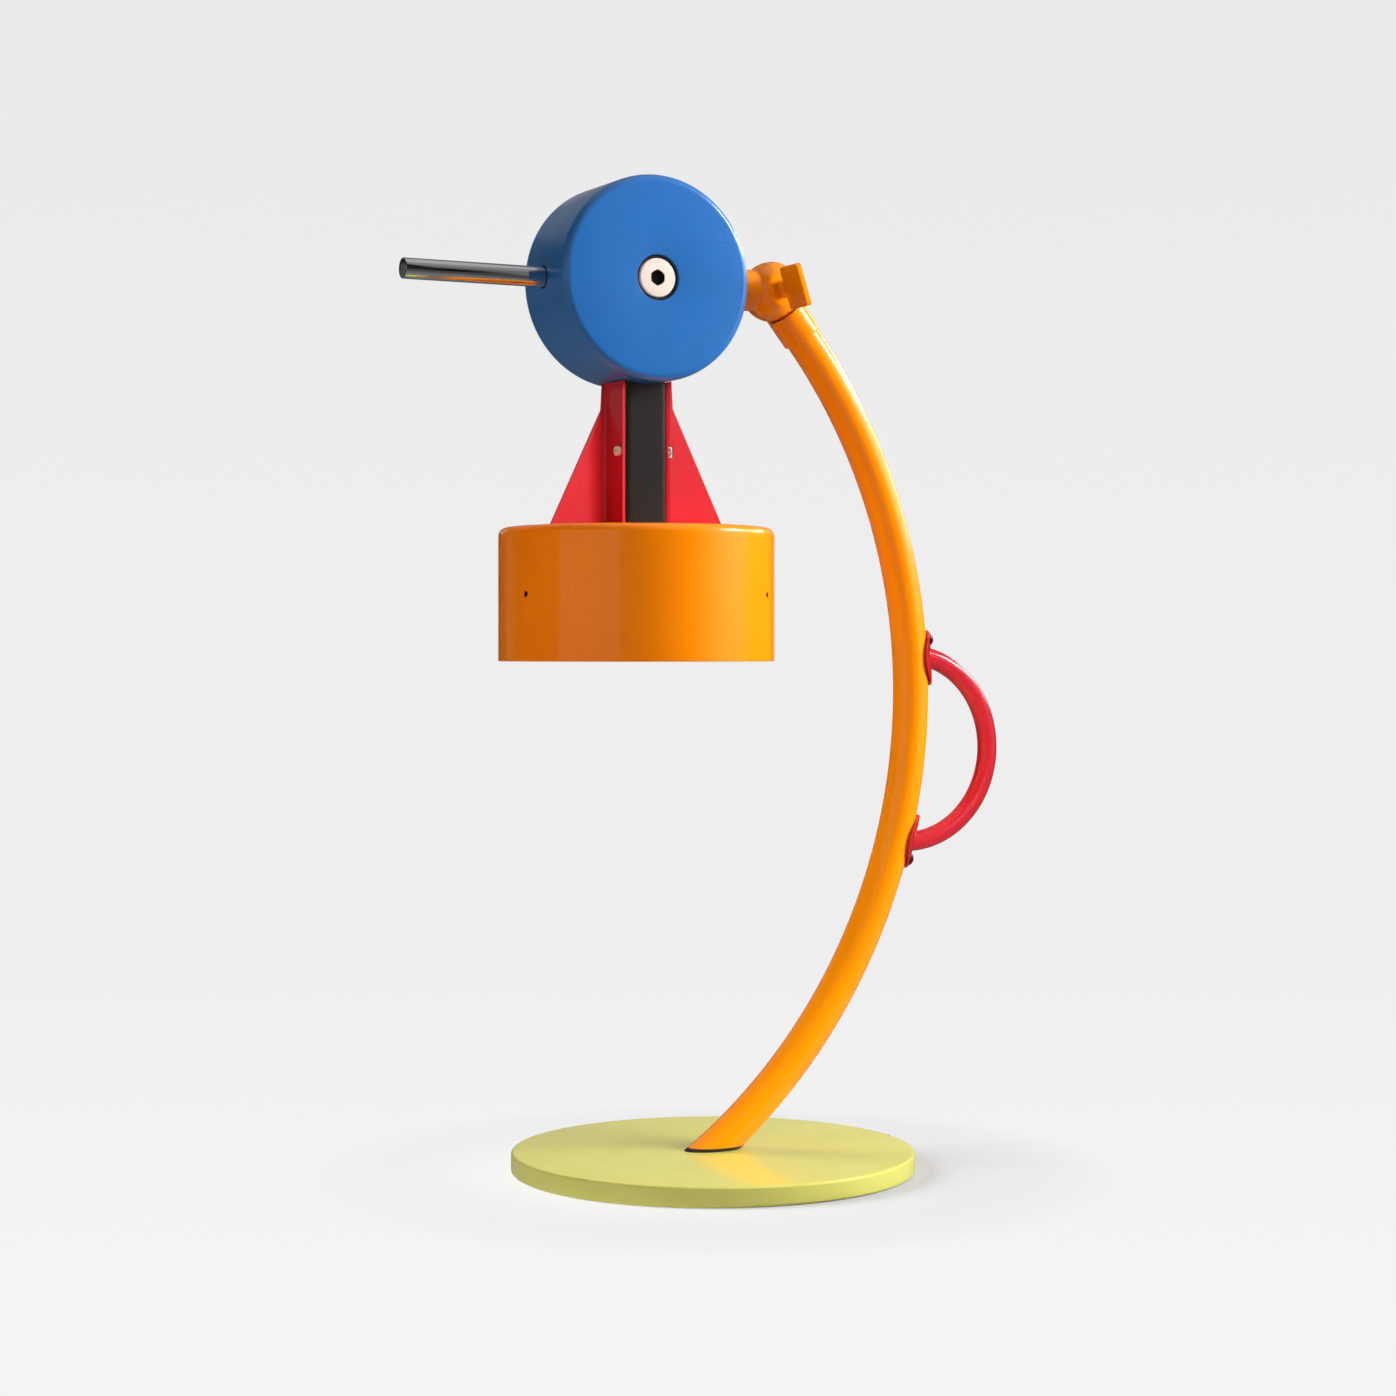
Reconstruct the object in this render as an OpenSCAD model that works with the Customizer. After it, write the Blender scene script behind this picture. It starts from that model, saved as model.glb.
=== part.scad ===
// Table lamp with a bowed tube stem, a clamped tilting head, a round transformer drum,
// a bracketed post and an open cylinder shade.
// The lamp stands on Z = 0. The stem bows towards +X and the head hangs over -X.
// The front of the drum faces -Y.

/* [Base] */
// Diameter of the base disc
base_d = 200; // [160:1:260]
// Thickness of the base disc
base_t = 10; // [10:0.5:16]
// Rounding of the edges of the base disc
base_edge_r = 1.5; // [0.5:0.25:3]
// Distance from the rim of the disc to the felt under it
felt_margin = 7; // [4:0.5:15]
// Thickness of the felt
felt_t = 1.2; // [1:0.1:2]
// Depth to which the felt is let into the disc
felt_recess = 0.8; // [0.3:0.1:0.9]

/* [Cord inlet] */
// Bore of the cord grommet
cord_d = 5; // [4:0.5:6]
// Wall of the cord grommet
grommet_wall = 1; // [0.75:0.25:1.25]
// Thickness of the grommet's outer flange
grommet_lip = 1.5; // [1:0.25:3]
// Length of the grommet inside the rim
grommet_len = 9; // [6:0.5:14]

/* [Stem] */
// Diameter of the stem tube
stem_d = 18; // [16:0.5:24]
// Wall of the stem tube
stem_wall = 1.5; // [1:0.25:2]
// Bend radius of the stem's centre line
stem_bend_r = 282; // [240:1:340]
// Angle on the bend at which the stem meets the base, below the level of the bend's centre
stem_foot_angle = 53.5; // [48:0.5:58]
// Angle on the bend at which the stem runs straight into the knuckle
stem_top_angle = 38.9; // [32:0.1:44]
// Thickness of the gasket under the stem
gasket_t = 1.6; // [1:0.1:3]

/* [Stem fixing] */
// Length of the plug in the foot of the stem, along the bend
foot_len = 28; // [24:1:40]
// Diameter of the hollow threaded nipple
nipple_d = 10; // [8:0.5:10]
// Bore of the hollow nipple
nipple_bore = 7; // [4:0.5:7]
// Length of the nipple inside the foot plug
nipple_grip = 8; // [6:0.5:9]
// Thickness of the washer under the base
washer_t = 1.5; // [1:0.25:2]
// Height of the nut under the base
base_nut_h = 4; // [3:0.25:4.5]

/* [Knuckle] */
// Diameter of the knuckle's ball
knuckle_d = 30; // [28:0.5:40]
// Width of the knuckle between its two flats
knuckle_w = 25; // [20:0.5:27]
// Wall of the sockets in the knuckle's arms
arm_wall = 1.2; // [1:0.1:3]
// Length of the stem arm outside the ball
stem_arm_len = 13; // [12:0.5:20]
// Depth of the stem in its socket
socket_depth = 10.5; // [8:0.5:11]
// Distance from the knuckle's axis to the rim of the drum
head_arm_len = 25; // [22:0.5:40]
// Rounding of the stem arm's lower edge
arm_edge_r = 1; // [0.25:0.25:1.25]
// Thickness of the friction disc between the halves
disc_t = 1; // [0.6:0.1:2]
// Diameter of the friction disc
disc_d = 23; // [16:0.5:25]
// Running gap between the two halves of the knuckle
knuckle_gap = 0.3; // [0.2:0.05:0.6]
// Gap between the ball of one half and the arm of the other
arm_gap = 1.2; // [0.4:0.1:1.5]

/* [Wing screw] */
// Diameter of the screw's thread
screw_d = 6; // [5:0.5:8]
// Diameter of the screw's shoulder
shoulder_d = 9; // [9:0.5:13]
// Distance from the knuckle's flat to the wing
wing_stand = 4; // [2:0.5:8]
// Length of the wing across the screw
wing_len = 21.5; // [16:0.5:28]
// Width of the wing along the screw
wing_w = 17.5; // [10:0.5:24]
// Thickness of the wing
wing_t = 3; // [2:0.25:5]
// Rounding of the wing's corners
wing_corner_r = 2; // [0.5:0.25:4]
// Lean of the wing from upright
wing_lean = 18; // [-45:1:45]

/* [Drum] */
// Diameter of the drum
drum_d = 100; // [90:1:130]
// Width of the drum along its axis
drum_w = 49; // [48:0.5:70]
// Rounding of the drum's edges
drum_edge_r = 4; // [1:0.25:4.5]
// Wall of the drum
drum_wall = 6; // [5:0.25:8]
// Thickness of the rear lid
lid_t = 3.5; // [2.5:0.25:5]
// Depth of the lid below the drum's rear face
lid_sink = 0.5; // [0.25:0.25:1]
// Ledge in the drum that the lid sits on
lid_ledge = 1.5; // [1:0.25:2.5]

/* [Drum bolt] */
// Diameter of the centre bolt
bolt_d = 10; // [8:0.5:12]
// Diameter of the bolt's flat head
bolt_head_d = 19; // [16:0.5:22]
// Height of the bolt's flat head
bolt_head_h = 5; // [4:0.25:7]
// Width across the flats of the hexagon socket
bolt_hex = 7; // [5:0.5:9]
// Depth of the hexagon socket
bolt_hex_depth = 3.2; // [2:0.25:3.5]
// Depth of the head below the drum's face
bolt_sink = 0.6; // [0.2:0.1:1.5]
// Open ring between the head and its recess
bolt_ring = 1.6; // [0.5:0.1:3]
// Thickness of the washer under the head
bolt_washer_t = 1.5; // [1:0.25:2.5]
// Height of the rim round the washer
bolt_rim_h = 4; // [1:0.25:4.5]
// Floor of the head's recess
bolt_floor = 3.4; // [2.5:0.1:6]

/* [Transformer] */
// Diameter of the ring transformer
coil_d = 66; // [56:1:68]
// Hole of the ring transformer
coil_hole = 36; // [35:1:40]
// Height of the ring transformer
coil_h = 25; // [20:0.5:25]
// Rounding of the ring transformer
coil_edge_r = 6; // [3:0.5:7]
// Thickness of the rubber pads
pad_t = 2; // [1:0.25:2]
// Thickness of the clamping plate
plate_t = 2; // [1.5:0.25:2.5]
// Height of the clamping nut
clamp_nut_h = 6; // [4:0.25:6]

/* [Grip rod] */
// Diameter of the grip rod
rod_d = 10; // [8:0.5:14]
// Length of the rod outside the drum
rod_len = 72; // [40:1:110]
// Depth of the rod in the drum's wall
rod_seat = 2.5; // [2:0.25:3.5]
// Chamfer of the rod's end
rod_chamfer = 0.4; // [0.2:0.1:1]
// Diameter of the threaded spigots that enter the drum
spigot_d = 6; // [5:0.5:7]
// Height of the nuts inside the drum
drum_nut_h = 4; // [3:0.25:4.5]

/* [Post] */
// Width of the square post
post_w = 22; // [20:0.5:28]
// Wall of the square post
post_wall = 2; // [1.5:0.25:2.5]
// Rounding of the post's corners
post_corner_r = 2; // [1:0.25:3]
// Length of the post between drum and shade
post_len = 70; // [58:0.5:110]
// Height of the plugs in the ends of the post
plug_h = 12; // [8:0.5:16]

/* [Brackets] */
// Thickness of the bracket's sheet
bracket_t = 1.5; // [1:0.1:2.5]
// Inner bend radius of the bracket
bracket_bend_r = 1.5; // [1:0.25:2]
// Reach of the fin from the axis of the post
fin_reach = 42.5; // [30:0.5:58]
// Height of the straight neck above the fin
fin_neck = 11.5; // [4:0.5:20]
// Height of the bracket's screw above the shade
bracket_screw_z = 37; // [16:0.5:44]
// Distance of the bracket's screw from the middle of the post, towards the front
bracket_screw_y = 7; // [5:0.5:7]
// Head diameter of the bracket's screw
bracket_head_d = 4.6; // [4:0.1:6]
// Head height of the bracket's screw
bracket_head_h = 2.2; // [1.5:0.1:3]
// Thread diameter of the bracket's screw
bracket_screw_d = 3; // [2:0.25:3]

/* [Shade] */
// Diameter of the shade
shade_d = 135; // [110:1:180]
// Height of the shade
shade_h = 65; // [58:0.5:100]
// Wall of the shade
shade_wall = 1.5; // [1:0.1:2.5]
// Rounding of the shade's top edge
shade_edge_r = 4; // [3:0.25:8]
// Height of the side screws above the shade's open edge
side_screw_z = 32; // [26:0.5:40]
// Turn of the three side screws about the shade
side_screw_turn = 13.3; // [0:0.1:119]
// Diameter of the side screws
side_screw_d = 3; // [2.5:0.25:4]
// Length of the side screws
side_screw_len = 5; // [4:0.25:8]

/* [Lamp fitting] */
// Height of the nut under the shade's top
shade_nut_h = 4; // [3:0.25:6]
// Diameter of the ceramic lamp holder
holder_d = 24; // [20:0.5:30]
// Height of the ceramic lamp holder
holder_h = 15; // [12:0.5:20]
// Diameter of the halogen capsule
bulb_d = 12; // [9:0.5:16]
// Length of the capsule outside the holder
bulb_len = 30; // [16:0.5:32]
// Height of the reflector's dish
dish_h = 20; // [12:0.5:22]
// Thickness of the reflector's sheet
dish_t = 1; // [0.8:0.1:1.5]
// Height of the reflector's side band
dish_band = 8; // [7:0.5:12]

/* [Handle] */
// Diameter of the handle tube
handle_d = 10; // [8:0.5:14]
// Wall of the handle tube
handle_wall = 1.2; // [0.8:0.1:2]
// Bend radius of the handle's centre line
handle_r = 48; // [38:0.5:70]
// Place of the handle on the stem's bend
handle_angle = -6; // [-20:0.5:10]
// Thickness of the handle's feet
saddle_t = 2; // [1.2:0.1:3]
// Length of the handle's feet along the stem
saddle_len = 28; // [24:0.5:40]
// Distance from the stem's centre line to the edge of a handle foot, at its middle
saddle_wrap = 4; // [3:0.5:6]
// Distance of the foot's screw from the middle of the foot
saddle_screw_offset = 9; // [8:0.25:12]
// Head diameter of the foot's domed screw
saddle_head_d = 7.5; // [6:0.25:9]
// Height of the screw's dome
saddle_head_h = 3.2; // [2:0.1:3.5]
// Thread diameter of the foot's screw
saddle_screw_d = 4; // [3:0.25:5]

/* [Hidden] */
$fn = 96;

// Paints and metals
lime = [0.80, 0.82, 0.42];
orange = [0.97, 0.56, 0.02];
blue = [0.16, 0.42, 0.73];
red = [0.88, 0.12, 0.16];
black = [0.14, 0.13, 0.13];
steel = [0.80, 0.78, 0.75];
nickel = [0.87, 0.84, 0.80];
chrome = [0.75, 0.76, 0.78];
brass = [0.80, 0.65, 0.33];
copper = [0.72, 0.42, 0.22];
ceramic = [0.93, 0.92, 0.88];
glass = [0.90, 0.93, 0.95, 0.5];

// Clearances
eps = 0.01;
slip = 0.05;
loose = 0.3;
rod_ring = 0.5;
hex_ratio = 2 / sqrt(3);

// Base levels
base_z = felt_t - felt_recess;
base_top = base_z + base_t;
felt_d = base_d - 2 * felt_margin;
pocket_d = 2.4 * nipple_d;
base_nut_z = felt_t + loose;
washer_z = base_nut_z + base_nut_h;
pocket_top = washer_z + washer_t;
grommet_d = cord_d + 2 * grommet_wall;
grommet_z = base_z + base_t / 2;
grommet_flange_d = grommet_d + 2;

// Stem bend in the XZ plane
bend_x = -stem_bend_r * cos(stem_foot_angle);
bend_z = base_top + stem_bend_r * sin(stem_foot_angle);
stem_cut_z = base_top + gasket_t;
bend_overrun = 8;
stem_in_d = stem_d - 2 * stem_wall;
foot_sweep = foot_len / stem_bend_r * 180 / PI;
nipple_x = (gasket_t + nipple_grip / 2) * tan(stem_foot_angle);
nipple_top = stem_cut_z + nipple_grip;
nut_ratio = 1.7;

// Knuckle
stem_end = [bend_x + stem_bend_r * cos(stem_top_angle), bend_z + stem_bend_r * sin(stem_top_angle)];
stem_straight = 1.7;
arm_end = knuckle_d / 2 + knuckle_gap + stem_arm_len;
arm_root = knuckle_d / 4;
knuckle_run = arm_end + stem_straight;
stem_end_angle = stem_top_angle + (stem_straight + socket_depth) / stem_bend_r * 180 / PI;
knuckle_x = stem_end[0] - knuckle_run * sin(stem_top_angle);
knuckle_z = stem_end[1] + knuckle_run * cos(stem_top_angle);
arm_d = stem_d + 2 * (slip + arm_wall);
head_face_y = disc_t / 2 + knuckle_gap;
screw_end_y = knuckle_w / 2 - 3;
wing_y = -knuckle_w / 2 - wing_stand - wing_w;

// Drum, seen along its axis with the front up
drum_x = knuckle_x - head_arm_len - drum_d / 2;
drum_z = knuckle_z;
front_z = drum_w / 2;
drum_in_d = drum_d - 2 * drum_wall;
lid_d = drum_in_d + 2 * lid_ledge;
lid_seat_z = -front_z + lid_sink + lid_t;
recess_d = bolt_head_d + 2 * bolt_ring;
recess_h = bolt_sink + bolt_head_h + bolt_washer_t;
boss_d = recess_d + 8;
boss_z = front_z - recess_h - bolt_floor;
coil_z = front_z - drum_wall - pad_t;
plate_z = coil_z - coil_h - pad_t;
clamp_z = plate_z - plate_t;
bolt_end_z = lid_seat_z - lid_t / 2;
plate_d = coil_d - 6;
rod_shoulder = drum_d / 2 - rod_seat;
spot_depth = 1;
spot_r = drum_in_d / 2 + spot_depth;
spigot_end = spot_r - drum_nut_h - 1.5;
spigot_root = 4;
spot_ratio = 2.1;
toward_arm = -90;
toward_rod = 90;
toward_post = 180;

// Post, brackets and shade
shade_top = drum_z - drum_d / 2 - post_len;
shade_open = shade_top - shade_h;
post_in_w = post_w - 2 * post_wall;
bracket_w = post_w - 1;
bracket_out = post_w / 2 + bracket_t;
shade_in_r = shade_d / 2 - shade_wall;
shade_ceiling = shade_top - shade_wall;
holder_top = shade_ceiling - shade_nut_h - loose;
holder_socket = 5;
plug_gap = 0.5;
holder_z = holder_top - holder_h;
screw_level = shade_open + side_screw_z;
dish_r = shade_in_r - loose;
dish_bottom = screw_level - dish_band / 2;
dish_rim = screw_level + dish_band / 2;
dish_sphere_r = (pow(dish_r, 2) + pow(dish_h, 2)) / (2 * dish_h);
dish_hole_d = holder_d + 3;
dish_centre = dish_rim + dish_h - dish_sphere_r;
bulb_neck_d = 0.7 * bulb_d;
bulb_neck_h = 5;
neck_reach = bracket_out + bracket_bend_r + 0.5;
bracket_screw_end = post_w / 2 - post_wall - 2;

// Handle
saddle_out_r = stem_d / 2 + saddle_t;
saddle_bend_r = stem_bend_r + saddle_out_r;
saddle_sweep = acos(
  (pow(stem_bend_r, 2) + pow(saddle_bend_r, 2) - pow(handle_r, 2)) / (2 * stem_bend_r * saddle_bend_r)
);
saddle_rise = saddle_out_r - saddle_wrap;
saddle_arc_r = (pow(saddle_len / 2, 2) + pow(saddle_rise, 2)) / (2 * saddle_rise);
saddle_screw_sweep = saddle_screw_offset / stem_bend_r * 180 / PI;
saddle_head_r = (pow(saddle_head_d / 2, 2) + pow(saddle_head_h, 2)) / (2 * saddle_head_h);
saddle_overrun = 8;
handle_half_turn = 95;

// Rectangle with round corners, centred
module rounded_rect(w, h, r) {
  square([w - 2 * r, h], center = true);
  square([w, h - 2 * r], center = true);
  for (x = [-1, 1], y = [-1, 1])
    translate([x * (w / 2 - r), y * (h / 2 - r)])
      circle(r = r);
}

// Half section of a disc or cup with one rounded outer corner at the top
module cup_section(r, h, edge) {
  square([r - edge, h]);
  square([r, h - edge]);
  translate([r - edge, h - edge])
    circle(r = edge);
}

// Half section of a disc with both outer corners rounded
module disc_section(r, h, edge) {
  square([r - edge, h]);
  translate([0, edge])
    square([r, h - 2 * edge]);
  for (z = [edge, h - edge])
    translate([r - edge, z])
      circle(r = edge);
}

// Solid bend along the stem's centre line between two angles
module stem_bend(r, from, to) {
  translate([bend_x, 0, bend_z])
    rotate([90, 0, 0])
      rotate([0, 0, from])
        rotate_extrude(angle = to - from, $fn = 360)
          translate([stem_bend_r, 0])
            circle(r = r, $fn = 96);
}

// Frame on the stem's bend: X points out of the bend and Z runs up along it
module on_bend(angle, out) {
  translate([bend_x, 0, bend_z])
    rotate([0, -angle, 0])
      translate([stem_bend_r + out, 0, 0])
        children();
}

// Frame at the centre of the knuckle with Z pointing back down the stem's end
module at_stem_arm() {
  translate([knuckle_x, 0, knuckle_z])
    rotate([0, 180 - stem_top_angle, 0])
      children();
}

module at_knuckle() {
  translate([knuckle_x, 0, knuckle_z])
    children();
}

// Frame on the drum's axis with Z towards the front face
module at_drum() {
  translate([drum_x, 0, drum_z])
    rotate([90, 0, 0])
      children();
}

// Frame on the post's axis at the level of the shade's top
module at_post() {
  translate([drum_x, 0, shade_top])
    children();
}

// Everything below a level
module below(z) {
  translate([-base_d * 2, -base_d * 2, z - base_d * 2])
    cube([base_d * 4, base_d * 4, base_d * 2]);
}

// Hexagon nut with a plain bore
module hex_nut(across, h, bore) {
  difference() {
    cylinder(d = across * hex_ratio, h = h, $fn = 6);
    translate([0, 0, -eps])
      cylinder(d = bore, h = h + 2 * eps);
  }
}

module base_plate() {
  color(lime)
    difference() {
      translate([0, 0, base_z])
        rotate_extrude($fn = 180)
          disc_section(base_d / 2, base_t, base_edge_r);
      translate([0, 0, base_z - eps])
        cylinder(d = felt_d + 2 * slip, h = felt_recess + eps);
      translate([nipple_x, 0, base_z])
        cylinder(d = pocket_d, h = pocket_top - base_z);
      translate([nipple_x, 0, base_z])
        cylinder(d = nipple_d + 2 * slip, h = base_t + eps);
      translate([nipple_x, -cord_d / 2 - loose, base_z])
        cube([base_d / 2 - grommet_len - nipple_x, cord_d + 2 * loose, (base_t + cord_d) / 2]);
      translate([base_d / 2 - grommet_len - eps, 0, grommet_z])
        rotate([0, 90, 0])
          cylinder(d = grommet_d + 2 * slip, h = grommet_len + 2 * eps);
    }
}

module base_felt() {
  color(black)
    cylinder(d = felt_d, h = felt_t);
}

module cord_grommet() {
  color(black)
    translate([base_d / 2 - grommet_len, 0, grommet_z])
      rotate([0, 90, 0])
        difference() {
          union() {
            cylinder(d = grommet_d, h = grommet_len + eps);
            translate([0, 0, grommet_len])
              cylinder(d = grommet_flange_d, h = grommet_lip);
          }
          translate([0, 0, -eps])
            cylinder(d = cord_d, h = grommet_len + grommet_lip + 2 * eps);
        }
}

module stem_gasket() {
  color(black)
    difference() {
      intersection() {
        stem_bend(stem_d / 2, -stem_foot_angle - bend_overrun, -stem_foot_angle + bend_overrun);
        translate([-base_d / 2, -base_d / 2, base_top])
          cube([base_d, base_d, gasket_t]);
      }
      translate([nipple_x, 0, 0])
        cylinder(d = nipple_d + 2 * slip, h = 2 * stem_cut_z);
    }
}

module stem_tube() {
  color(orange)
    difference() {
      stem_bend(stem_d / 2, -stem_foot_angle - bend_overrun, stem_end_angle);
      stem_bend(stem_in_d / 2, -stem_foot_angle - 2 * bend_overrun, stem_end_angle + bend_overrun);
      below(stem_cut_z);
      saddle_screw_holes();
    }
}

// Holes for the screws of the handle's feet, from the stem's middle outwards
module saddle_screw_holes() {
  for (side = [-1, 1])
    on_bend(handle_angle + side * (saddle_sweep + saddle_screw_sweep), 0)
      rotate([0, 90, 0])
        cylinder(d = saddle_screw_d + 2 * slip, h = saddle_out_r + saddle_head_h);
}

module stem_foot() {
  color(steel)
    difference() {
      stem_bend(stem_in_d / 2 - slip, -stem_foot_angle - bend_overrun, -stem_foot_angle + foot_sweep);
      below(stem_cut_z);
      translate([nipple_x, 0, 0])
        cylinder(d = nipple_d + 2 * slip, h = nipple_top + slip);
      difference() {
        stem_bend(nipple_bore / 2, -stem_foot_angle, -stem_foot_angle + 2 * foot_sweep);
        below(nipple_top - nipple_grip / 4);
      }
    }
}

// Hollow threaded tube that carries the cord, standing on its lower end
module nipple(h) {
  difference() {
    cylinder(d = nipple_d, h = h);
    translate([0, 0, -eps])
      cylinder(d = nipple_bore, h = h + 2 * eps);
  }
}

module stem_nipple() {
  color(brass)
    translate([nipple_x, 0, base_nut_z])
      nipple(nipple_top - base_nut_z);
}

module base_washer() {
  color(steel)
    translate([nipple_x, 0, washer_z])
      difference() {
        cylinder(d = pocket_d - 2 * loose, h = washer_t);
        translate([0, 0, -eps])
          cylinder(d = nipple_d + 2 * slip, h = washer_t + 2 * eps);
      }
}

module base_nut() {
  color(brass)
    translate([nipple_x, 0, base_nut_z])
      hex_nut(nipple_d * nut_ratio, base_nut_h, nipple_d + 2 * slip);
}

// Arm of the knuckle along Z with a rounded far edge
module knuckle_arm(h, edge) {
  translate([0, 0, arm_root])
    rotate_extrude()
      cup_section(arm_d / 2, h - arm_root, edge);
}

// Slice of a ball between two planes across the knuckle's axis
module ball_slice(d, from, to) {
  intersection() {
    sphere(d = d);
    translate([-d, from, -d])
      cube([2 * d, to - from, 2 * d]);
  }
}

module knuckle_stem_half() {
  color(orange)
    difference() {
      union() {
        at_knuckle()
          ball_slice(knuckle_d, disc_t / 2, knuckle_w / 2);
        at_stem_arm()
          knuckle_arm(arm_end, arm_edge_r);
      }
      at_knuckle()
        ball_slice(knuckle_d + 2 * arm_gap, -knuckle_d, disc_t / 2);
      stem_bend(stem_d / 2 + slip, stem_top_angle - bend_overrun, stem_end_angle);
      at_knuckle()
        rotate([-90, 0, 0])
          cylinder(d = screw_d + 2 * slip, h = screw_end_y + loose);
    }
}

module friction_disc() {
  color(black)
    at_knuckle()
      rotate([90, 0, 0])
        difference() {
          cylinder(d = disc_d, h = disc_t, center = true);
          cylinder(d = screw_d + 2 * loose, h = disc_t + 2 * eps, center = true);
        }
}

module knuckle_head_half() {
  color(orange) {
    difference() {
      union() {
        at_knuckle()
          ball_slice(knuckle_d, -knuckle_w / 2, -head_face_y);
        at_knuckle()
          rotate([0, -90, 0])
            translate([0, 0, arm_root])
              cylinder(d = arm_d, h = head_arm_len);
      }
      at_knuckle()
        ball_slice(knuckle_d + 2 * arm_gap, -head_face_y, knuckle_d);
      at_drum()
        cylinder(d = drum_d + 2 * slip, h = 2 * drum_w, center = true);
      at_knuckle()
        rotate([90, 0, 0])
          cylinder(d = screw_d + 2 * loose, h = knuckle_w);
    }
    drum_radius(toward_arm)
      translate([0, 0, spigot_end])
        cylinder(d = spigot_d, h = drum_d / 2 - spigot_end + spigot_root);
  }
}

module wing_screw() {
  shoulder_y = knuckle_w / 2 + knuckle_gap;
  shoulder_len = wing_stand + wing_corner_r;
  color(orange)
    at_knuckle() {
      rotate([90, 0, 0])
        translate([0, 0, -screw_end_y])
          cylinder(d = screw_d, h = screw_end_y + shoulder_y + eps);
      rotate([90, 0, 0])
        translate([0, 0, shoulder_y])
          cylinder(d = shoulder_d, h = shoulder_len);
      rotate([0, -wing_lean, 0])
        rotate([90, 0, 90])
          translate([wing_y + wing_w / 2, 0, -wing_t / 2])
            linear_extrude(wing_t)
              rounded_rect(wing_w, wing_len, wing_corner_r);
    }
}

// Frame on the drum's axis with Z along a radius of the drum
module drum_radius(turn) {
  at_drum()
    rotate([0, 0, turn])
      rotate([-90, 0, 0])
        children();
}

// Drilled hole through the drum's wall with a flat inside for a nut
module wall_hole(turn, bore, flat_d) {
  drum_radius(turn) {
    translate([0, 0, spigot_end])
      cylinder(d = bore, h = drum_d / 2);
    translate([0, 0, spigot_end])
      cylinder(d = flat_d, h = spot_r - spigot_end);
  }
}

module drum_shell() {
  color(blue)
    difference() {
      at_drum()
        difference() {
          union() {
            difference() {
              translate([0, 0, -front_z])
                rotate_extrude($fn = 180)
                  disc_section(drum_d / 2, drum_w, drum_edge_r);
              translate([0, 0, -front_z - eps])
                cylinder(d = drum_in_d, h = drum_w - drum_wall + eps);
              translate([0, 0, -front_z - eps])
                cylinder(d = lid_d + 2 * slip, h = lid_sink + lid_t + eps);
            }
            translate([0, 0, boss_z])
              cylinder(d = boss_d, h = front_z - boss_z - drum_edge_r);
          }
          translate([0, 0, front_z - recess_h])
            cylinder(d = recess_d, h = recess_h + eps);
          translate([0, 0, boss_z - eps])
            cylinder(d = bolt_d + 2 * slip, h = drum_w);
        }
      wall_hole(toward_arm, spigot_d + 2 * slip, spigot_d * spot_ratio);
      wall_hole(toward_rod, spigot_d + 2 * slip, spigot_d * spot_ratio);
      wall_hole(toward_post, nipple_d + 2 * slip, nipple_d * spot_ratio);
      drum_radius(toward_rod)
        translate([0, 0, rod_shoulder])
          cylinder(d = rod_d + 2 * rod_ring, h = drum_d / 2);
    }
}

module drum_lid() {
  color(blue)
    at_drum()
      difference() {
        union() {
          translate([0, 0, lid_seat_z - lid_t])
            cylinder(d = lid_d, h = lid_t);
          translate([0, 0, lid_seat_z - eps])
            cylinder(d = 2 * bolt_d, h = clamp_z - clamp_nut_h - loose - lid_seat_z + eps);
        }
        translate([0, 0, bolt_end_z - slip])
          cylinder(d = bolt_d + 2 * slip, h = drum_w);
      }
}

module drum_bolt() {
  head_z = front_z - bolt_sink - bolt_head_h;
  color(nickel)
    at_drum()
      difference() {
        union() {
          translate([0, 0, head_z])
            cylinder(d = bolt_head_d, h = bolt_head_h);
          translate([0, 0, bolt_end_z])
            cylinder(d = bolt_d, h = head_z - bolt_end_z + eps);
        }
        translate([0, 0, head_z + bolt_head_h - bolt_hex_depth])
          rotate([0, 0, 90])
            cylinder(d = bolt_hex * hex_ratio, h = bolt_hex_depth + eps, $fn = 6);
      }
}

module bolt_washer() {
  color(black)
    at_drum()
      translate([0, 0, front_z - recess_h])
        difference() {
          cylinder(d = recess_d - 2 * slip, h = bolt_washer_t + bolt_rim_h);
          translate([0, 0, bolt_washer_t])
            cylinder(d = bolt_head_d + 2 * loose, h = bolt_rim_h + eps);
          translate([0, 0, -eps])
            cylinder(d = bolt_d + 2 * slip, h = bolt_washer_t + 2 * eps);
        }
}

module transformer() {
  ring_w = (coil_d - coil_hole) / 2;
  color(copper)
    at_drum()
      translate([0, 0, coil_z - coil_h / 2])
        rotate_extrude()
          translate([coil_hole / 2 + ring_w / 2, 0])
            rounded_rect(ring_w, coil_h, coil_edge_r);
}

module transformer_pads() {
  color(black)
    at_drum()
      for (z = [coil_z, coil_z - coil_h - pad_t])
        translate([0, 0, z])
          difference() {
            cylinder(d = plate_d, h = pad_t);
            translate([0, 0, -eps])
              cylinder(d = coil_hole, h = pad_t + 2 * eps);
          }
}

module clamp_plate() {
  color(steel)
    at_drum()
      translate([0, 0, clamp_z])
        difference() {
          cylinder(d = plate_d, h = plate_t);
          translate([0, 0, -eps])
            cylinder(d = bolt_d + 2 * slip, h = plate_t + 2 * eps);
        }
}

module clamp_nut() {
  color(steel)
    at_drum()
      translate([0, 0, clamp_z - clamp_nut_h])
        hex_nut(bolt_d * nut_ratio, clamp_nut_h, bolt_d + 2 * slip);
}

// Nut on the flat inside the drum's wall
module wall_nut(turn, d) {
  drum_radius(turn)
    translate([0, 0, spot_r - drum_nut_h])
      hex_nut(d * nut_ratio, drum_nut_h, d + 2 * slip);
}

module arm_nut() {
  color(steel)
    wall_nut(toward_arm, spigot_d);
}

module rod_nut() {
  color(steel)
    wall_nut(toward_rod, spigot_d);
}

module post_top_nut() {
  color(brass)
    wall_nut(toward_post, nipple_d);
}

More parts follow.
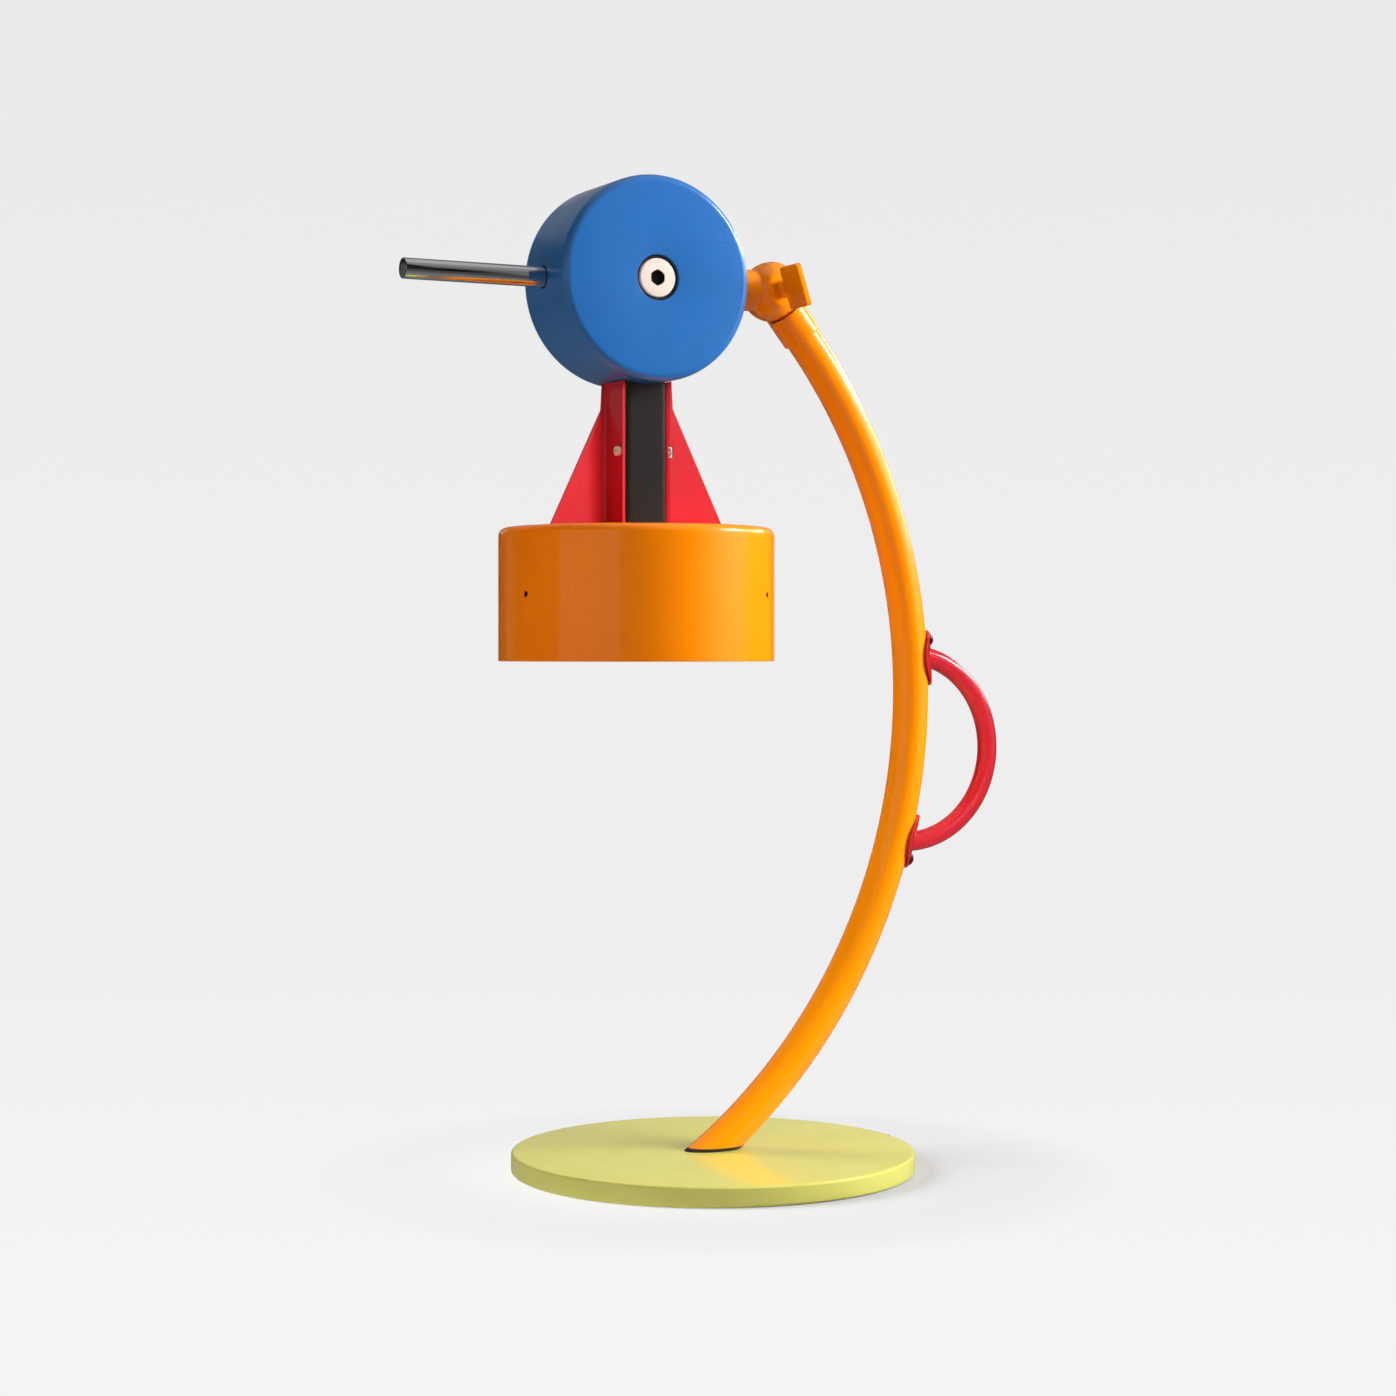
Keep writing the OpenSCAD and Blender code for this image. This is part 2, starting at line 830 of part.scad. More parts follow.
module grip_rod() {
  rod_run = rod_seat + rod_len;
  color(chrome)
    drum_radius(toward_rod) {
      translate([0, 0, rod_shoulder])
        rotate_extrude()
          polygon([
            [0, 0],
            [rod_d / 2, 0],
            [rod_d / 2, rod_run - rod_chamfer],
            [rod_d / 2 - rod_chamfer, rod_run],
            [0, rod_run]
          ]);
      translate([0, 0, spigot_end])
        cylinder(d = spigot_d, h = rod_shoulder - spigot_end + eps);
    }
}

module post_tube() {
  color(black)
    difference() {
      at_post()
        linear_extrude(post_len + drum_d / 4)
          difference() {
            rounded_rect(post_w, post_w, post_corner_r);
            square(post_in_w, center = true);
          }
      at_drum()
        cylinder(d = drum_d + 2 * slip, h = 2 * drum_w, center = true);
      bracket_screw_holes();
    }
}

// Square plug in the post, standing on its lower face
module post_plug() {
  side = post_in_w - 2 * slip;
  difference() {
    translate([-side / 2, -side / 2, 0])
      cube([side, side, plug_h]);
    translate([0, 0, -eps])
      cylinder(d = nipple_d + 2 * slip, h = plug_h + 2 * eps);
  }
}

module post_top_plug() {
  color(steel)
    at_post()
      translate([0, 0, post_len - plug_gap - plug_h])
        post_plug();
}

module post_foot_plug() {
  color(steel)
    at_post()
      post_plug();
}

module post_top_nipple() {
  color(brass)
    drum_radius(toward_post)
      translate([0, 0, spigot_end])
        nipple(drum_d / 2 + plug_gap + plug_h - spigot_end);
}

module post_nipple() {
  low = holder_top - holder_socket;
  color(brass)
    translate([drum_x, 0, low])
      nipple(shade_top + plug_h - low);
}

// Plan of the folded sheet on the left of the post: a web on the post and a fin behind it
module bracket_plan() {
  reach = 2 * fin_reach;
  difference() {
    translate([-reach, -bracket_w / 2])
      cup_section(reach - post_w / 2, bracket_w, bracket_bend_r + bracket_t);
    translate([-reach - eps, -bracket_w / 2 - eps])
      cup_section(reach - bracket_out + eps, bracket_w - bracket_t + eps, bracket_bend_r);
  }
}

module bracket() {
  fin_top = post_len - fin_neck;
  headroom = post_len + drum_d / 4;
  intersection() {
    linear_extrude(headroom)
      bracket_plan();
    rotate([90, 0, 0])
      translate([0, 0, -post_w])
        linear_extrude(2 * post_w)
          polygon([
            [0, 0],
            [-fin_reach, 0],
            [-neck_reach, fin_top],
            [-neck_reach, 2 * headroom],
            [0, 2 * headroom]
          ]);
  }
}

// Hole for the screws of the two brackets, through both webs and the post
module bracket_screw_holes() {
  at_post()
    translate([0, -bracket_screw_y, bracket_screw_z])
      rotate([0, 90, 0])
        cylinder(d = bracket_screw_d + 2 * slip, h = 4 * bracket_out, center = true);
}

// Window in the fold of the right bracket, where its screw is put in from the front
module fold_window() {
  head = bracket_head_d + 2 * loose;
  at_post()
    translate([bracket_out, -bracket_w, bracket_screw_z - head / 2])
      cube([bracket_head_h + loose, bracket_w - bracket_screw_y + head / 2, head]);
}

module fitted_bracket(turn) {
  difference() {
    at_post()
      rotate([0, 0, turn])
        bracket();
    at_drum()
      cylinder(d = drum_d + 2 * loose, h = 2 * drum_w, center = true);
    bracket_screw_holes();
  }
}

module bracket_left() {
  color(red)
    fitted_bracket(0);
}

module bracket_right() {
  color(red)
    difference() {
      fitted_bracket(180);
      fold_window();
    }
}

module bracket_screws() {
  color(nickel)
    at_post()
      for (side = [0, 1])
        mirror([side, 0, 0])
          translate([-bracket_out - bracket_head_h, -bracket_screw_y, bracket_screw_z])
            rotate([0, 90, 0]) {
              cylinder(d = bracket_head_d, h = bracket_head_h);
              cylinder(d = bracket_screw_d, h = bracket_head_h + bracket_out - bracket_screw_end);
            }
}

// Places for the three side screws, with Z pointing out of the shade
module at_side_screws() {
  translate([drum_x, 0, screw_level])
    for (i = [0:2])
      rotate([0, 0, 180 + side_screw_turn + i * 120])
        rotate([0, 90, 0])
          children();
}

module side_screw_holes() {
  at_side_screws()
    cylinder(d = side_screw_d + 2 * slip, h = shade_d);
}

module shade() {
  color(orange)
    difference() {
      translate([drum_x, 0, shade_open])
        rotate_extrude($fn = 180)
          difference() {
            cup_section(shade_d / 2, shade_h, shade_edge_r);
            translate([0, -eps])
              cup_section(shade_in_r, shade_h - shade_wall + eps, shade_edge_r - shade_wall);
          }
      translate([drum_x, 0, shade_open])
        cylinder(d = nipple_d + 2 * slip, h = 2 * shade_h);
      side_screw_holes();
    }
}

module shade_nut() {
  color(brass)
    translate([drum_x, 0, shade_ceiling - shade_nut_h])
      hex_nut(nipple_d * nut_ratio, shade_nut_h, nipple_d + 2 * slip);
}

module reflector() {
  color(ceramic)
    difference() {
      translate([drum_x, 0, 0])
        rotate_extrude($fn = 180) {
          translate([dish_r - dish_t, dish_bottom])
            square([dish_t, dish_band + eps]);
          intersection() {
            translate([0, dish_centre])
              difference() {
                circle(r = dish_sphere_r, $fn = 360);
                circle(r = dish_sphere_r - dish_t, $fn = 360);
              }
            translate([dish_hole_d / 2, dish_rim])
              square([dish_r, dish_h]);
          }
        }
      side_screw_holes();
    }
}

module shade_screws() {
  hex = side_screw_d / 2;
  color(steel)
    at_side_screws()
      translate([0, 0, shade_d / 2 - side_screw_len])
        difference() {
          cylinder(d = side_screw_d, h = side_screw_len);
          translate([0, 0, side_screw_len - hex])
            cylinder(d = hex * hex_ratio, h = hex + eps, $fn = 6);
        }
}

module lamp_holder() {
  color(ceramic)
    translate([drum_x, 0, holder_z])
      difference() {
        rotate_extrude()
          disc_section(holder_d / 2, holder_h, 1);
        translate([0, 0, holder_h - holder_socket - slip])
          cylinder(d = nipple_d + 2 * slip, h = holder_socket + 1);
        translate([0, 0, -eps])
          cylinder(d = bulb_neck_d + 2 * slip, h = bulb_neck_h + slip);
      }
}

module bulb() {
  shoulder = (bulb_d - bulb_neck_d) / 2;
  color(glass)
    translate([drum_x, 0, holder_z]) {
      cylinder(d = bulb_neck_d, h = bulb_neck_h);
      translate([0, 0, -shoulder])
        cylinder(d1 = bulb_d, d2 = bulb_neck_d, h = shoulder + eps);
      translate([0, 0, bulb_d / 2 - bulb_len])
        cylinder(d = bulb_d, h = bulb_len - bulb_d / 2 - shoulder);
      translate([0, 0, bulb_d / 2 - bulb_len])
        sphere(d = bulb_d);
    }
}

module handle_tube() {
  color(red)
    difference() {
      on_bend(handle_angle, 0)
        rotate([90, 0, 0])
          rotate([0, 0, -handle_half_turn])
            rotate_extrude(angle = 2 * handle_half_turn, $fn = 180)
              translate([handle_r, 0])
                difference() {
                  circle(d = handle_d);
                  circle(d = handle_d - 2 * handle_wall);
                }
      stem_bend(
        saddle_out_r + slip,
        handle_angle - saddle_sweep - saddle_overrun,
        handle_angle + saddle_sweep + saddle_overrun
      );
    }
}

// Round cutter across the stem that leaves a foot with two points
module saddle_round(angle) {
  on_bend(angle, saddle_wrap + saddle_arc_r)
    rotate([90, 0, 0])
      cylinder(r = saddle_arc_r, h = 4 * saddle_out_r, center = true);
}

// Boat-shaped foot wrapped on the stem
module handle_foot(angle) {
  difference() {
    intersection() {
      stem_bend(saddle_out_r, angle - saddle_overrun, angle + saddle_overrun);
      saddle_round(angle);
    }
    stem_bend(stem_d / 2 + slip, angle - 2 * saddle_overrun, angle + 2 * saddle_overrun);
    saddle_screw_holes();
  }
}

module handle_foot_upper() {
  color(red)
    handle_foot(handle_angle + saddle_sweep);
}

module handle_foot_lower() {
  color(red)
    handle_foot(handle_angle - saddle_sweep);
}

module handle_screws() {
  low = stem_in_d / 2 - 1;
  color(black)
    for (side = [-1, 1]) {
      angle = handle_angle + side * (saddle_sweep + saddle_screw_sweep);
      difference() {
        on_bend(angle, 0)
          rotate([0, 90, 0])
            intersection() {
              translate([0, 0, saddle_out_r + saddle_head_h - saddle_head_r])
                sphere(r = saddle_head_r);
              translate([0, 0, saddle_out_r - saddle_t])
                cylinder(d = saddle_head_d, h = saddle_t + saddle_head_h);
            }
        stem_bend(saddle_out_r + slip, angle - saddle_overrun, angle + saddle_overrun);
      }
      on_bend(angle, 0)
        rotate([0, 90, 0])
          translate([0, 0, low])
            cylinder(d = saddle_screw_d, h = saddle_out_r + saddle_head_h / 2 - low);
    }
}

base_plate();
base_felt();
cord_grommet();
stem_gasket();
stem_tube();
stem_foot();
stem_nipple();
base_washer();
base_nut();
knuckle_stem_half();
friction_disc();
knuckle_head_half();
wing_screw();
drum_shell();
drum_lid();
drum_bolt();
bolt_washer();
transformer();
transformer_pads();
clamp_plate();
clamp_nut();
arm_nut();
grip_rod();
rod_nut();
post_tube();
post_top_plug();
post_top_nipple();
post_top_nut();
post_foot_plug();
post_nipple();
bracket_left();
bracket_right();
bracket_screws();
shade();
shade_nut();
reflector();
shade_screws();
lamp_holder();
bulb();
handle_tube();
handle_foot_upper();
handle_foot_lower();
handle_screws();
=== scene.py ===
"""Table lamp: paints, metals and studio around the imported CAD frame.

Lengths are metres in the frame of the CAD part. Places come from the frame's own boxes, and the
fields of each class hold the sizes that a box can't give.
"""

import logging
import math
from dataclasses import dataclass
from enum import Enum
from functools import cache
from typing import Sequence

import bmesh
import bpy
from mathutils import Matrix, Vector


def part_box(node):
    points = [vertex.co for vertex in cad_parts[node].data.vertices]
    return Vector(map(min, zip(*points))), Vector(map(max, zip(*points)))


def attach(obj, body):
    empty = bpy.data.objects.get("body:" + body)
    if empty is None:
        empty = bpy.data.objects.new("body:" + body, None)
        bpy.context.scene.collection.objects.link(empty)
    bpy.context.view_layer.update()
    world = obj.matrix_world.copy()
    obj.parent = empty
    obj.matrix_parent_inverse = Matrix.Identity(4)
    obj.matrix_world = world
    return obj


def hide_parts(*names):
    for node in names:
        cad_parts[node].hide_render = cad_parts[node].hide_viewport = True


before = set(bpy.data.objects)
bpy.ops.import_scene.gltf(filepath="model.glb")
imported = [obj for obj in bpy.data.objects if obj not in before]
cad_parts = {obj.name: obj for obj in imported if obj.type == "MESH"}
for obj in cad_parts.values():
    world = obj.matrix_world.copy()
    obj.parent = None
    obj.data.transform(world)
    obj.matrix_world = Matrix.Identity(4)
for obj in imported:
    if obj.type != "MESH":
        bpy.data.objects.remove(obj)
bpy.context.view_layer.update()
LOG = logging.getLogger("lamp")
DRESSED: list[str] = []

MM = 0.001
SLIP = 0.05 * MM  # room round a part in its hole
MERGE = 1e-7  # points closer than this are one
FRONT, LEFT, RIGHT = Vector((0, -1, 0)), Vector((-1, 0, 0)), Vector((1, 0, 0))
PLAIN = (1.0, 1.0, 1.0, 1.0)
DUST = (0.6, 0.58, 0.55, 1.0)
# Colour of the painted shade inside the bolt's hexagon socket.
SOCKET_SHADE = (0.006, 0.008, 0.009, 1.0)

Triple = tuple[float, float, float]
Labels = dict[str, Sequence[str]]
Inputs = dict[str | int, object]
Piece, Node, Socket = bpy.types.Object, bpy.types.Node, bpy.types.NodeSocket


class Body(Enum):
    """The moving bodies that a piece can ride on."""

    STAND = "stand"
    HEAD = "head"
    WING = "wing"


class Join(Enum):
    """How a tool shape changes a piece."""

    ADD = "UNION"
    CUT = "DIFFERENCE"


class Side(Enum):
    """Where one of a pair sits."""

    UPPER = "upper"
    LOWER = "lower"
    LEFT = "left"
    RIGHT = "right"


class Link(Enum):
    """How a light treats the pieces of a list."""

    ONLY = "INCLUDE"
    ALL_BUT = "EXCLUDE"


class Gloss(Enum):
    """Roughness of a paint film."""

    FULL = 0.16
    SATIN = 0.3
    LOW = 0.42


# Shapes


def polar(radius: float, turn: float) -> Vector:
    """Gives a flat point by its radius and its angle in radians."""
    return Vector((radius * math.cos(turn), radius * math.sin(turn)))


def around(count: int) -> list[float]:
    """Gives evenly spaced angles of a full turn."""
    return [math.tau * k / count for k in range(count)]


def oblong(left: float, right: float, low: float, high: float) -> list[Vector]:
    """Gives the corners of a flat oblong."""
    return [Vector((left, low)), Vector((right, low)), Vector((right, high)), Vector((left, high))]


def hexagon(across: float) -> list[Vector]:
    """Gives a hexagon by its width across flats."""
    return [polar(across / math.sqrt(3), math.radians(30 + 60 * k)) for k in range(6)]


def rounded(corners: Sequence[tuple[float, ...]], closed: bool = False, steps: int = 6) -> list[Vector]:
    """Lays a section through corners, each rounded by its own radius.

    Args:
        corners: Points of the section as x, y and a radius, which a sharp corner leaves out.
        closed: Whether the last corner joins the first.
        steps: Straight pieces in each rounding.

    Returns:
        The points of the section in order.
    """
    count = len(corners)
    path: list[Vector] = []
    for i, corner in enumerate(corners):
        here, radius = Vector(corner[:2]), sum(corner[2:])
        if radius <= 0 or (not closed and i in (0, count - 1)):
            path.append(here)
            continue
        back = (Vector(corners[i - 1][:2]) - here).normalized()
        ahead = (Vector(corners[(i + 1) % count][:2]) - here).normalized()
        half = back.angle(ahead) / 2
        reach = radius / math.tan(half)
        centre = here + (back + ahead).normalized() * (radius / math.sin(half))
        first, last = here + back * reach - centre, here + ahead * reach - centre
        start = math.atan2(first.y, first.x)
        sweep = (math.atan2(last.y, last.x) - start + math.pi) % math.tau - math.pi
        path += [centre + polar(radius, start + sweep * k / steps) for k in range(steps + 1)]
    return path


def solid(name: str, shape: bmesh.types.BMesh) -> Piece:
    """Turns a bmesh into an object with merged points and outward faces.

    Args:
        name: Name of the object.
        shape: The bmesh, which is freed.

    Returns:
        The new object.
    """
    bmesh.ops.remove_doubles(shape, verts=shape.verts, dist=MERGE)
    bmesh.ops.recalc_face_normals(shape, faces=shape.faces)
    mesh = bpy.data.meshes.new(name)
    shape.to_mesh(mesh)
    shape.free()
    piece = bpy.data.objects.new(name, mesh)
    bpy.context.scene.collection.objects.link(piece)
    return piece


def aim(origin: Vector, direction: Vector) -> Matrix:
    """Gives a place at origin whose Z axis points along direction."""
    return Matrix.Translation(origin) @ direction.to_track_quat("Z", "Y").to_matrix().to_4x4()


def lathe(
    name: str,
    section: Sequence[Vector],
    place: Matrix = Matrix(),
    segments: int = 128,
    closed: bool = False,
) -> Piece:
    """Turns a half section about the Z axis of a place.

    Args:
        name: Name of the object.
        section: Points as radius and height.
        place: Where the axis stands.
        segments: Steps of the turn.
        closed: Whether the section is a loop that misses the axis.

    Returns:
        The turned object.
    """
    shape = bmesh.new()
    rings = []
    for radius, height in section:
        turns = around(segments) if radius > MERGE else [0.0]
        rings.append([shape.verts.new(place @ Vector((*polar(radius, turn), height))) for turn in turns])
    for low, high in zip(rings, rings[1:] + rings[:1] if closed else rings[1:]):
        for k in range(segments):
            near = (low[k % len(low)], low[(k + 1) % len(low)])
            far = (high[(k + 1) % len(high)], high[k % len(high)])
            corners = list(dict.fromkeys(near + far))
            if len(corners) > 2:
                shape.faces.new(corners)
    return solid(name, shape)


def sleeve(name: str, loops: Sequence[Sequence[Vector]], split_top: bool = False) -> Piece:
    """Closes a row of loops into a capped sleeve.

    Args:
        name: Name of the object.
        loops: Closed loops of points, from end to end.
        split_top: Whether the last cap is hollow and has to be split into triangles.

    Returns:
        The sleeve.
    """
    shape = bmesh.new()
    rows = [[shape.verts.new(point) for point in loop] for loop in loops]
    for low, high in zip(rows, rows[1:]):
        for k in range(len(low)):
            after = (k + 1) % len(low)
            shape.faces.new((low[k], low[after], high[after], high[k]))
    shape.faces.new(rows[0])
    top = shape.faces.new(rows[-1])
    if split_top:
        bmesh.ops.triangulate(shape, faces=[top])
    return solid(name, shape)


def prism(name: str, outline: Sequence[Vector], low: float, high: float, place: Matrix = Matrix()) -> Piece:
    """Raises a flat outline between two heights of a place."""
    return sleeve(name, [[place @ Vector((*point, height)) for point in outline] for height in (low, high)])


def rod(name: str, radius: float, low: float, high: float, place: Matrix, segments: int = 64) -> Piece:
    """Turns a plain tool for cutting or adding, from low to high on a place's axis."""
    return lathe(name, oblong(0, radius, low, high), place, segments)


def settle(piece: Piece) -> None:
    """Applies a piece's modifiers to its mesh and removes them.

    Args:
        piece: The piece.
    """
    graph = bpy.context.evaluated_depsgraph_get()
    mesh = bpy.data.meshes.new_from_object(piece.evaluated_get(graph))
    old = piece.data
    piece.modifiers.clear()
    piece.data = mesh
    mesh.name = piece.name
    bpy.data.meshes.remove(old)


def alter(piece: Piece, kind: str, **settings: object) -> None:
    """Changes a piece by one modifier, which is applied.

    Args:
        piece: The piece.
        kind: Type of the modifier.
        settings: Its properties.
    """
    change = piece.modifiers.new(kind.lower(), kind)
    for key, value in settings.items():
        setattr(change, key, value)
    settle(piece)


def combine(piece: Piece, how: Join, *tools: Piece) -> None:
    """Adds tool shapes to a piece or cuts them away, and uses them up.

    Args:
        piece: The piece to change.
        how: Whether a tool is added or cut away.
        tools: The tool shapes.
    """
    for tool in tools:
        alter(piece, "BOOLEAN", operation=how.value, solver="EXACT", object=tool)
        bpy.data.meshes.remove(tool.data)


def cast(piece: Piece, grain: float, passes: int = 4) -> None:
    """Melts a piece into one skin of a cell size, and eases it, as a painted casting has soft edges."""
    alter(piece, "REMESH", mode="VOXEL", voxel_size=grain)
    alter(piece, "SMOOTH", factor=0.5, iterations=passes)


# Node trees


class Tree:
    """A node tree with a short way to add and join nodes."""

    def __init__(self, tree: bpy.types.NodeTree) -> None:
        """Wraps a tree."""
        self.tree = tree

    def feed(self, node: Node, inputs: Inputs) -> None:
        """Joins sockets to the inputs of a node, or sets their values.

        Args:
            node: The node.
            inputs: Sockets and values by input name or number.
        """
        for key, value in inputs.items():
            if isinstance(value, Socket):
                self.tree.links.new(value, node.inputs[key])
            else:
                node.inputs[key].default_value = value

    def add(self, kind: str, inputs: Inputs | None = None, **settings: object) -> Node:
        """Adds a node.

        Args:
            kind: Type of the node.
            inputs: Sockets and values by input name or number.
            settings: Properties of the node.

        Returns:
            The new node.
        """
        node = self.tree.nodes.new(kind)
        for key, value in settings.items():
            setattr(node, key, value)
        self.feed(node, inputs or {})
        return node

    def math(self, operation: str, first: object, second: object = 0.0, clamp: bool = False) -> Socket:
        """Adds a sum of two values and gives its result."""
        return self.add("ShaderNodeMath", {0: first, 1: second}, operation=operation, use_clamp=clamp).outputs[0]

    def ramp(self, value: Socket, low: float, high: float, start: float = 0.0, end: float = 1.0) -> Socket:
        """Spreads a value from low to high over start to end."""
        spans = {"Value": value, "From Min": low, "From Max": high, "To Min": start, "To Max": end}
        return self.add("ShaderNodeMapRange", spans).outputs[0]

    def blend(self, share: Socket, first: object, second: object) -> Socket:
        """Mixes two colours and gives the result."""
        return self.add("ShaderNodeMix", {0: share, 6: first, 7: second}, data_type="RGBA").outputs[2]

    def mix(self, share: Socket, first: Node, second: Node) -> Node:
        """Mixes two shaders."""
        return self.add("ShaderNodeMixShader", {0: share, 1: first.outputs[0], 2: second.outputs[0]})


class Group(Tree):
    """A node group with named inputs and outputs."""

    def __init__(self, name: str, kind: str, inputs: Labels, outputs: Labels) -> None:
        """Makes an empty group.

        Args:
            name: Name of the group.
            kind: Type of its tree.
            inputs: Labels of its inputs by socket type.
            outputs: Labels of its outputs by socket type.
        """
        super().__init__(bpy.data.node_groups.new(name, kind))
        for way, sockets in (("INPUT", inputs), ("OUTPUT", outputs)):
            for socket_type, labels in sockets.items():
                for label in labels:
                    self.tree.interface.new_socket(label, in_out=way, socket_type=f"NodeSocket{socket_type}")
        self.source = self.tree.nodes.new("NodeGroupInput").outputs
        self.sink = self.tree.nodes.new("NodeGroupOutput")


class Growth(Group):
    """A geometry node tree that grows a piece."""

    def __init__(self, name: str, inputs: Labels) -> None:
        """Makes an empty tree with the inputs and one for its material."""
        whole = {**inputs, "Material": ("Material",)}
        super().__init__(name, "GeometryNodeTree", whole, {"Geometry": ("Geometry",)})

    def sweep(self, curve: Node, radius: Socket, points: int) -> Socket:
        """Sweeps a circle along a curve.

        Args:
            curve: Node of the curve.
            radius: Radius of the circle.
            points: Points of the circle.

        Returns:
            The capped tube.
        """
        ring = self.add("GeometryNodeCurvePrimitiveCircle", {"Resolution": points, "Radius": radius}, mode="RADIUS")
        parts = {"Curve": curve.outputs[0], "Profile Curve": ring.outputs[0], "Fill Caps": True}
        return self.add("GeometryNodeCurveToMesh", parts).outputs[0]

    def end(self, geometry: Socket, offset: Socket, turn: object = (0.0, 0.0, 0.0)) -> "Growth":
        """Places the geometry, makes it real and sets its material.

        Args:
            geometry: What was grown.
            offset: Where it goes.
            turn: How it is turned.

        Returns:
            The finished tree.
        """
        placed = self.add("GeometryNodeTransform", {"Geometry": geometry, "Translation": offset, "Rotation": turn})
        real = self.add("GeometryNodeRealizeInstances", {0: placed.outputs[0]})
        skin = {"Geometry": real.outputs[0], "Material": self.source["Material"]}
        self.feed(self.sink, {0: self.add("GeometryNodeSetMaterial", skin).outputs[0]})
        return self

    def grow(self, name: str, values: dict[str, object]) -> Piece:
        """Grows a plain mesh from the tree.

        Args:
            name: Name of the piece.
            values: Value of each named input.

        Returns:
            The new piece, with no modifier left on it.
        """
        piece = bpy.data.objects.new(name, bpy.data.meshes.new(name))
        bpy.context.scene.collection.objects.link(piece)
        growth = piece.modifiers.new("growth", "NODES")
        growth.node_group = self.tree
        for item in self.tree.interface.items_tree:
            if item.in_out == "INPUT" and item.name in values:
                growth[item.identifier] = values[item.name]
        settle(piece)
        return piece


def tube_growth() -> Growth:
    """Builds the tree of a round tube along an arc about the Y axis.

    Returns:
        The finished tree.
    """
    grown = Growth("tube_along_arc", {
        "Float": ("Bend Radius", "Tube Radius", "Start", "Sweep"),
        "Vector": ("Centre",),
    })
    source = grown.source
    arc = grown.add("GeometryNodeCurveArc", {
        "Resolution": 121,
        "Radius": source["Bend Radius"],
        "Start Angle": source["Start"],
        "Sweep Angle": source["Sweep"],
    }, mode="RADIUS")
    return grown.end(grown.sweep(arc, source["Tube Radius"], 48), source["Centre"], (math.pi / 2, 0, 0))


def ring_growth() -> Growth:
    """Builds the tree that sets screws around a circle, each facing outward along its Z axis.

    Returns:
        The finished tree.
    """
    grown = Growth("screws_on_ring", {
        "Object": ("Screw",),
        "Float": ("Radius", "First", "Step", "Tilt"),
        "Int": ("Count",),
        "Vector": ("Centre",),
    })
    source = grown.source
    line = grown.add("GeometryNodeMeshLine", {"Count": source["Count"]})
    index = grown.add("GeometryNodeInputIndex")
    turn = grown.math("ADD", source["First"], grown.math("MULTIPLY", index.outputs[0], source["Step"]))
    across = grown.math("MULTIPLY", source["Radius"], grown.math("COSINE", turn))
    along = grown.math("MULTIPLY", source["Radius"], grown.math("SINE", turn))
    spot = grown.add("ShaderNodeCombineXYZ", {0: across, 1: along})
    points = grown.add("GeometryNodeSetPosition", {"Geometry": line.outputs[0], "Position": spot.outputs[0]})
    facing = grown.add("ShaderNodeCombineXYZ", {1: math.pi / 2, 2: turn})
    screw = grown.add("GeometryNodeObjectInfo", {"Object": source["Screw"]})
    spread = grown.add("GeometryNodeInstanceOnPoints", {
        "Points": points.outputs[0],
        "Instance": screw.outputs["Geometry"],
        "Rotation": facing.outputs[0],
    })
    tilt = grown.add("ShaderNodeCombineXYZ", {0: source["Tilt"]})
    return grown.end(spread.outputs[0], source["Centre"], tilt.outputs[0])


def coil_growth() -> Growth:
    """Builds the tree of a fine wire coil along the Z axis.

    Returns:
        The finished tree.
    """
    grown = Growth("wire_coil", {"Float": ("Turns", "Coil Radius", "Height", "Wire Radius"), "Vector": ("Foot",)})
    source = grown.source
    spiral = grown.add("GeometryNodeCurveSpiral", {
        "Resolution": 20,
        "Rotations": source["Turns"],
        "Start Radius": source["Coil Radius"],
        "End Radius": source["Coil Radius"],
        "Height": source["Height"],
    })
    return grown.end(grown.sweep(spiral, source["Wire Radius"], 8), source["Foot"])


# Finishes


def linear(colour: Triple) -> tuple[float, float, float, float]:
    """Turns a screen colour of 0 to 255 into the linear colour that shaders take."""
    shares = [value / 255 for value in colour]
    return (*(s / 12.92 if s <= 0.04045 else ((s + 0.055) / 1.055) ** 2.4 for s in shares), 1.0)


class Marks(Group):
    """A shader group on Object coordinates that puts out a colour, a roughness and a height."""

    def __init__(self, name: str, inputs: Labels) -> None:
        """Makes an empty group with the inputs."""
        super().__init__(name, "ShaderNodeTree", inputs, {"Color": ("Colour",), "Float": ("Roughness", "Height")})
        self.where = self.add("ShaderNodeTexCoord").outputs["Object"]

    def noise(self, where: Socket, scale: object, detail: float) -> Socket:
        """Adds a noise and gives its value."""
        return self.add("ShaderNodeTexNoise", {"Vector": where, "Scale": scale, "Detail": detail}).outputs[0]


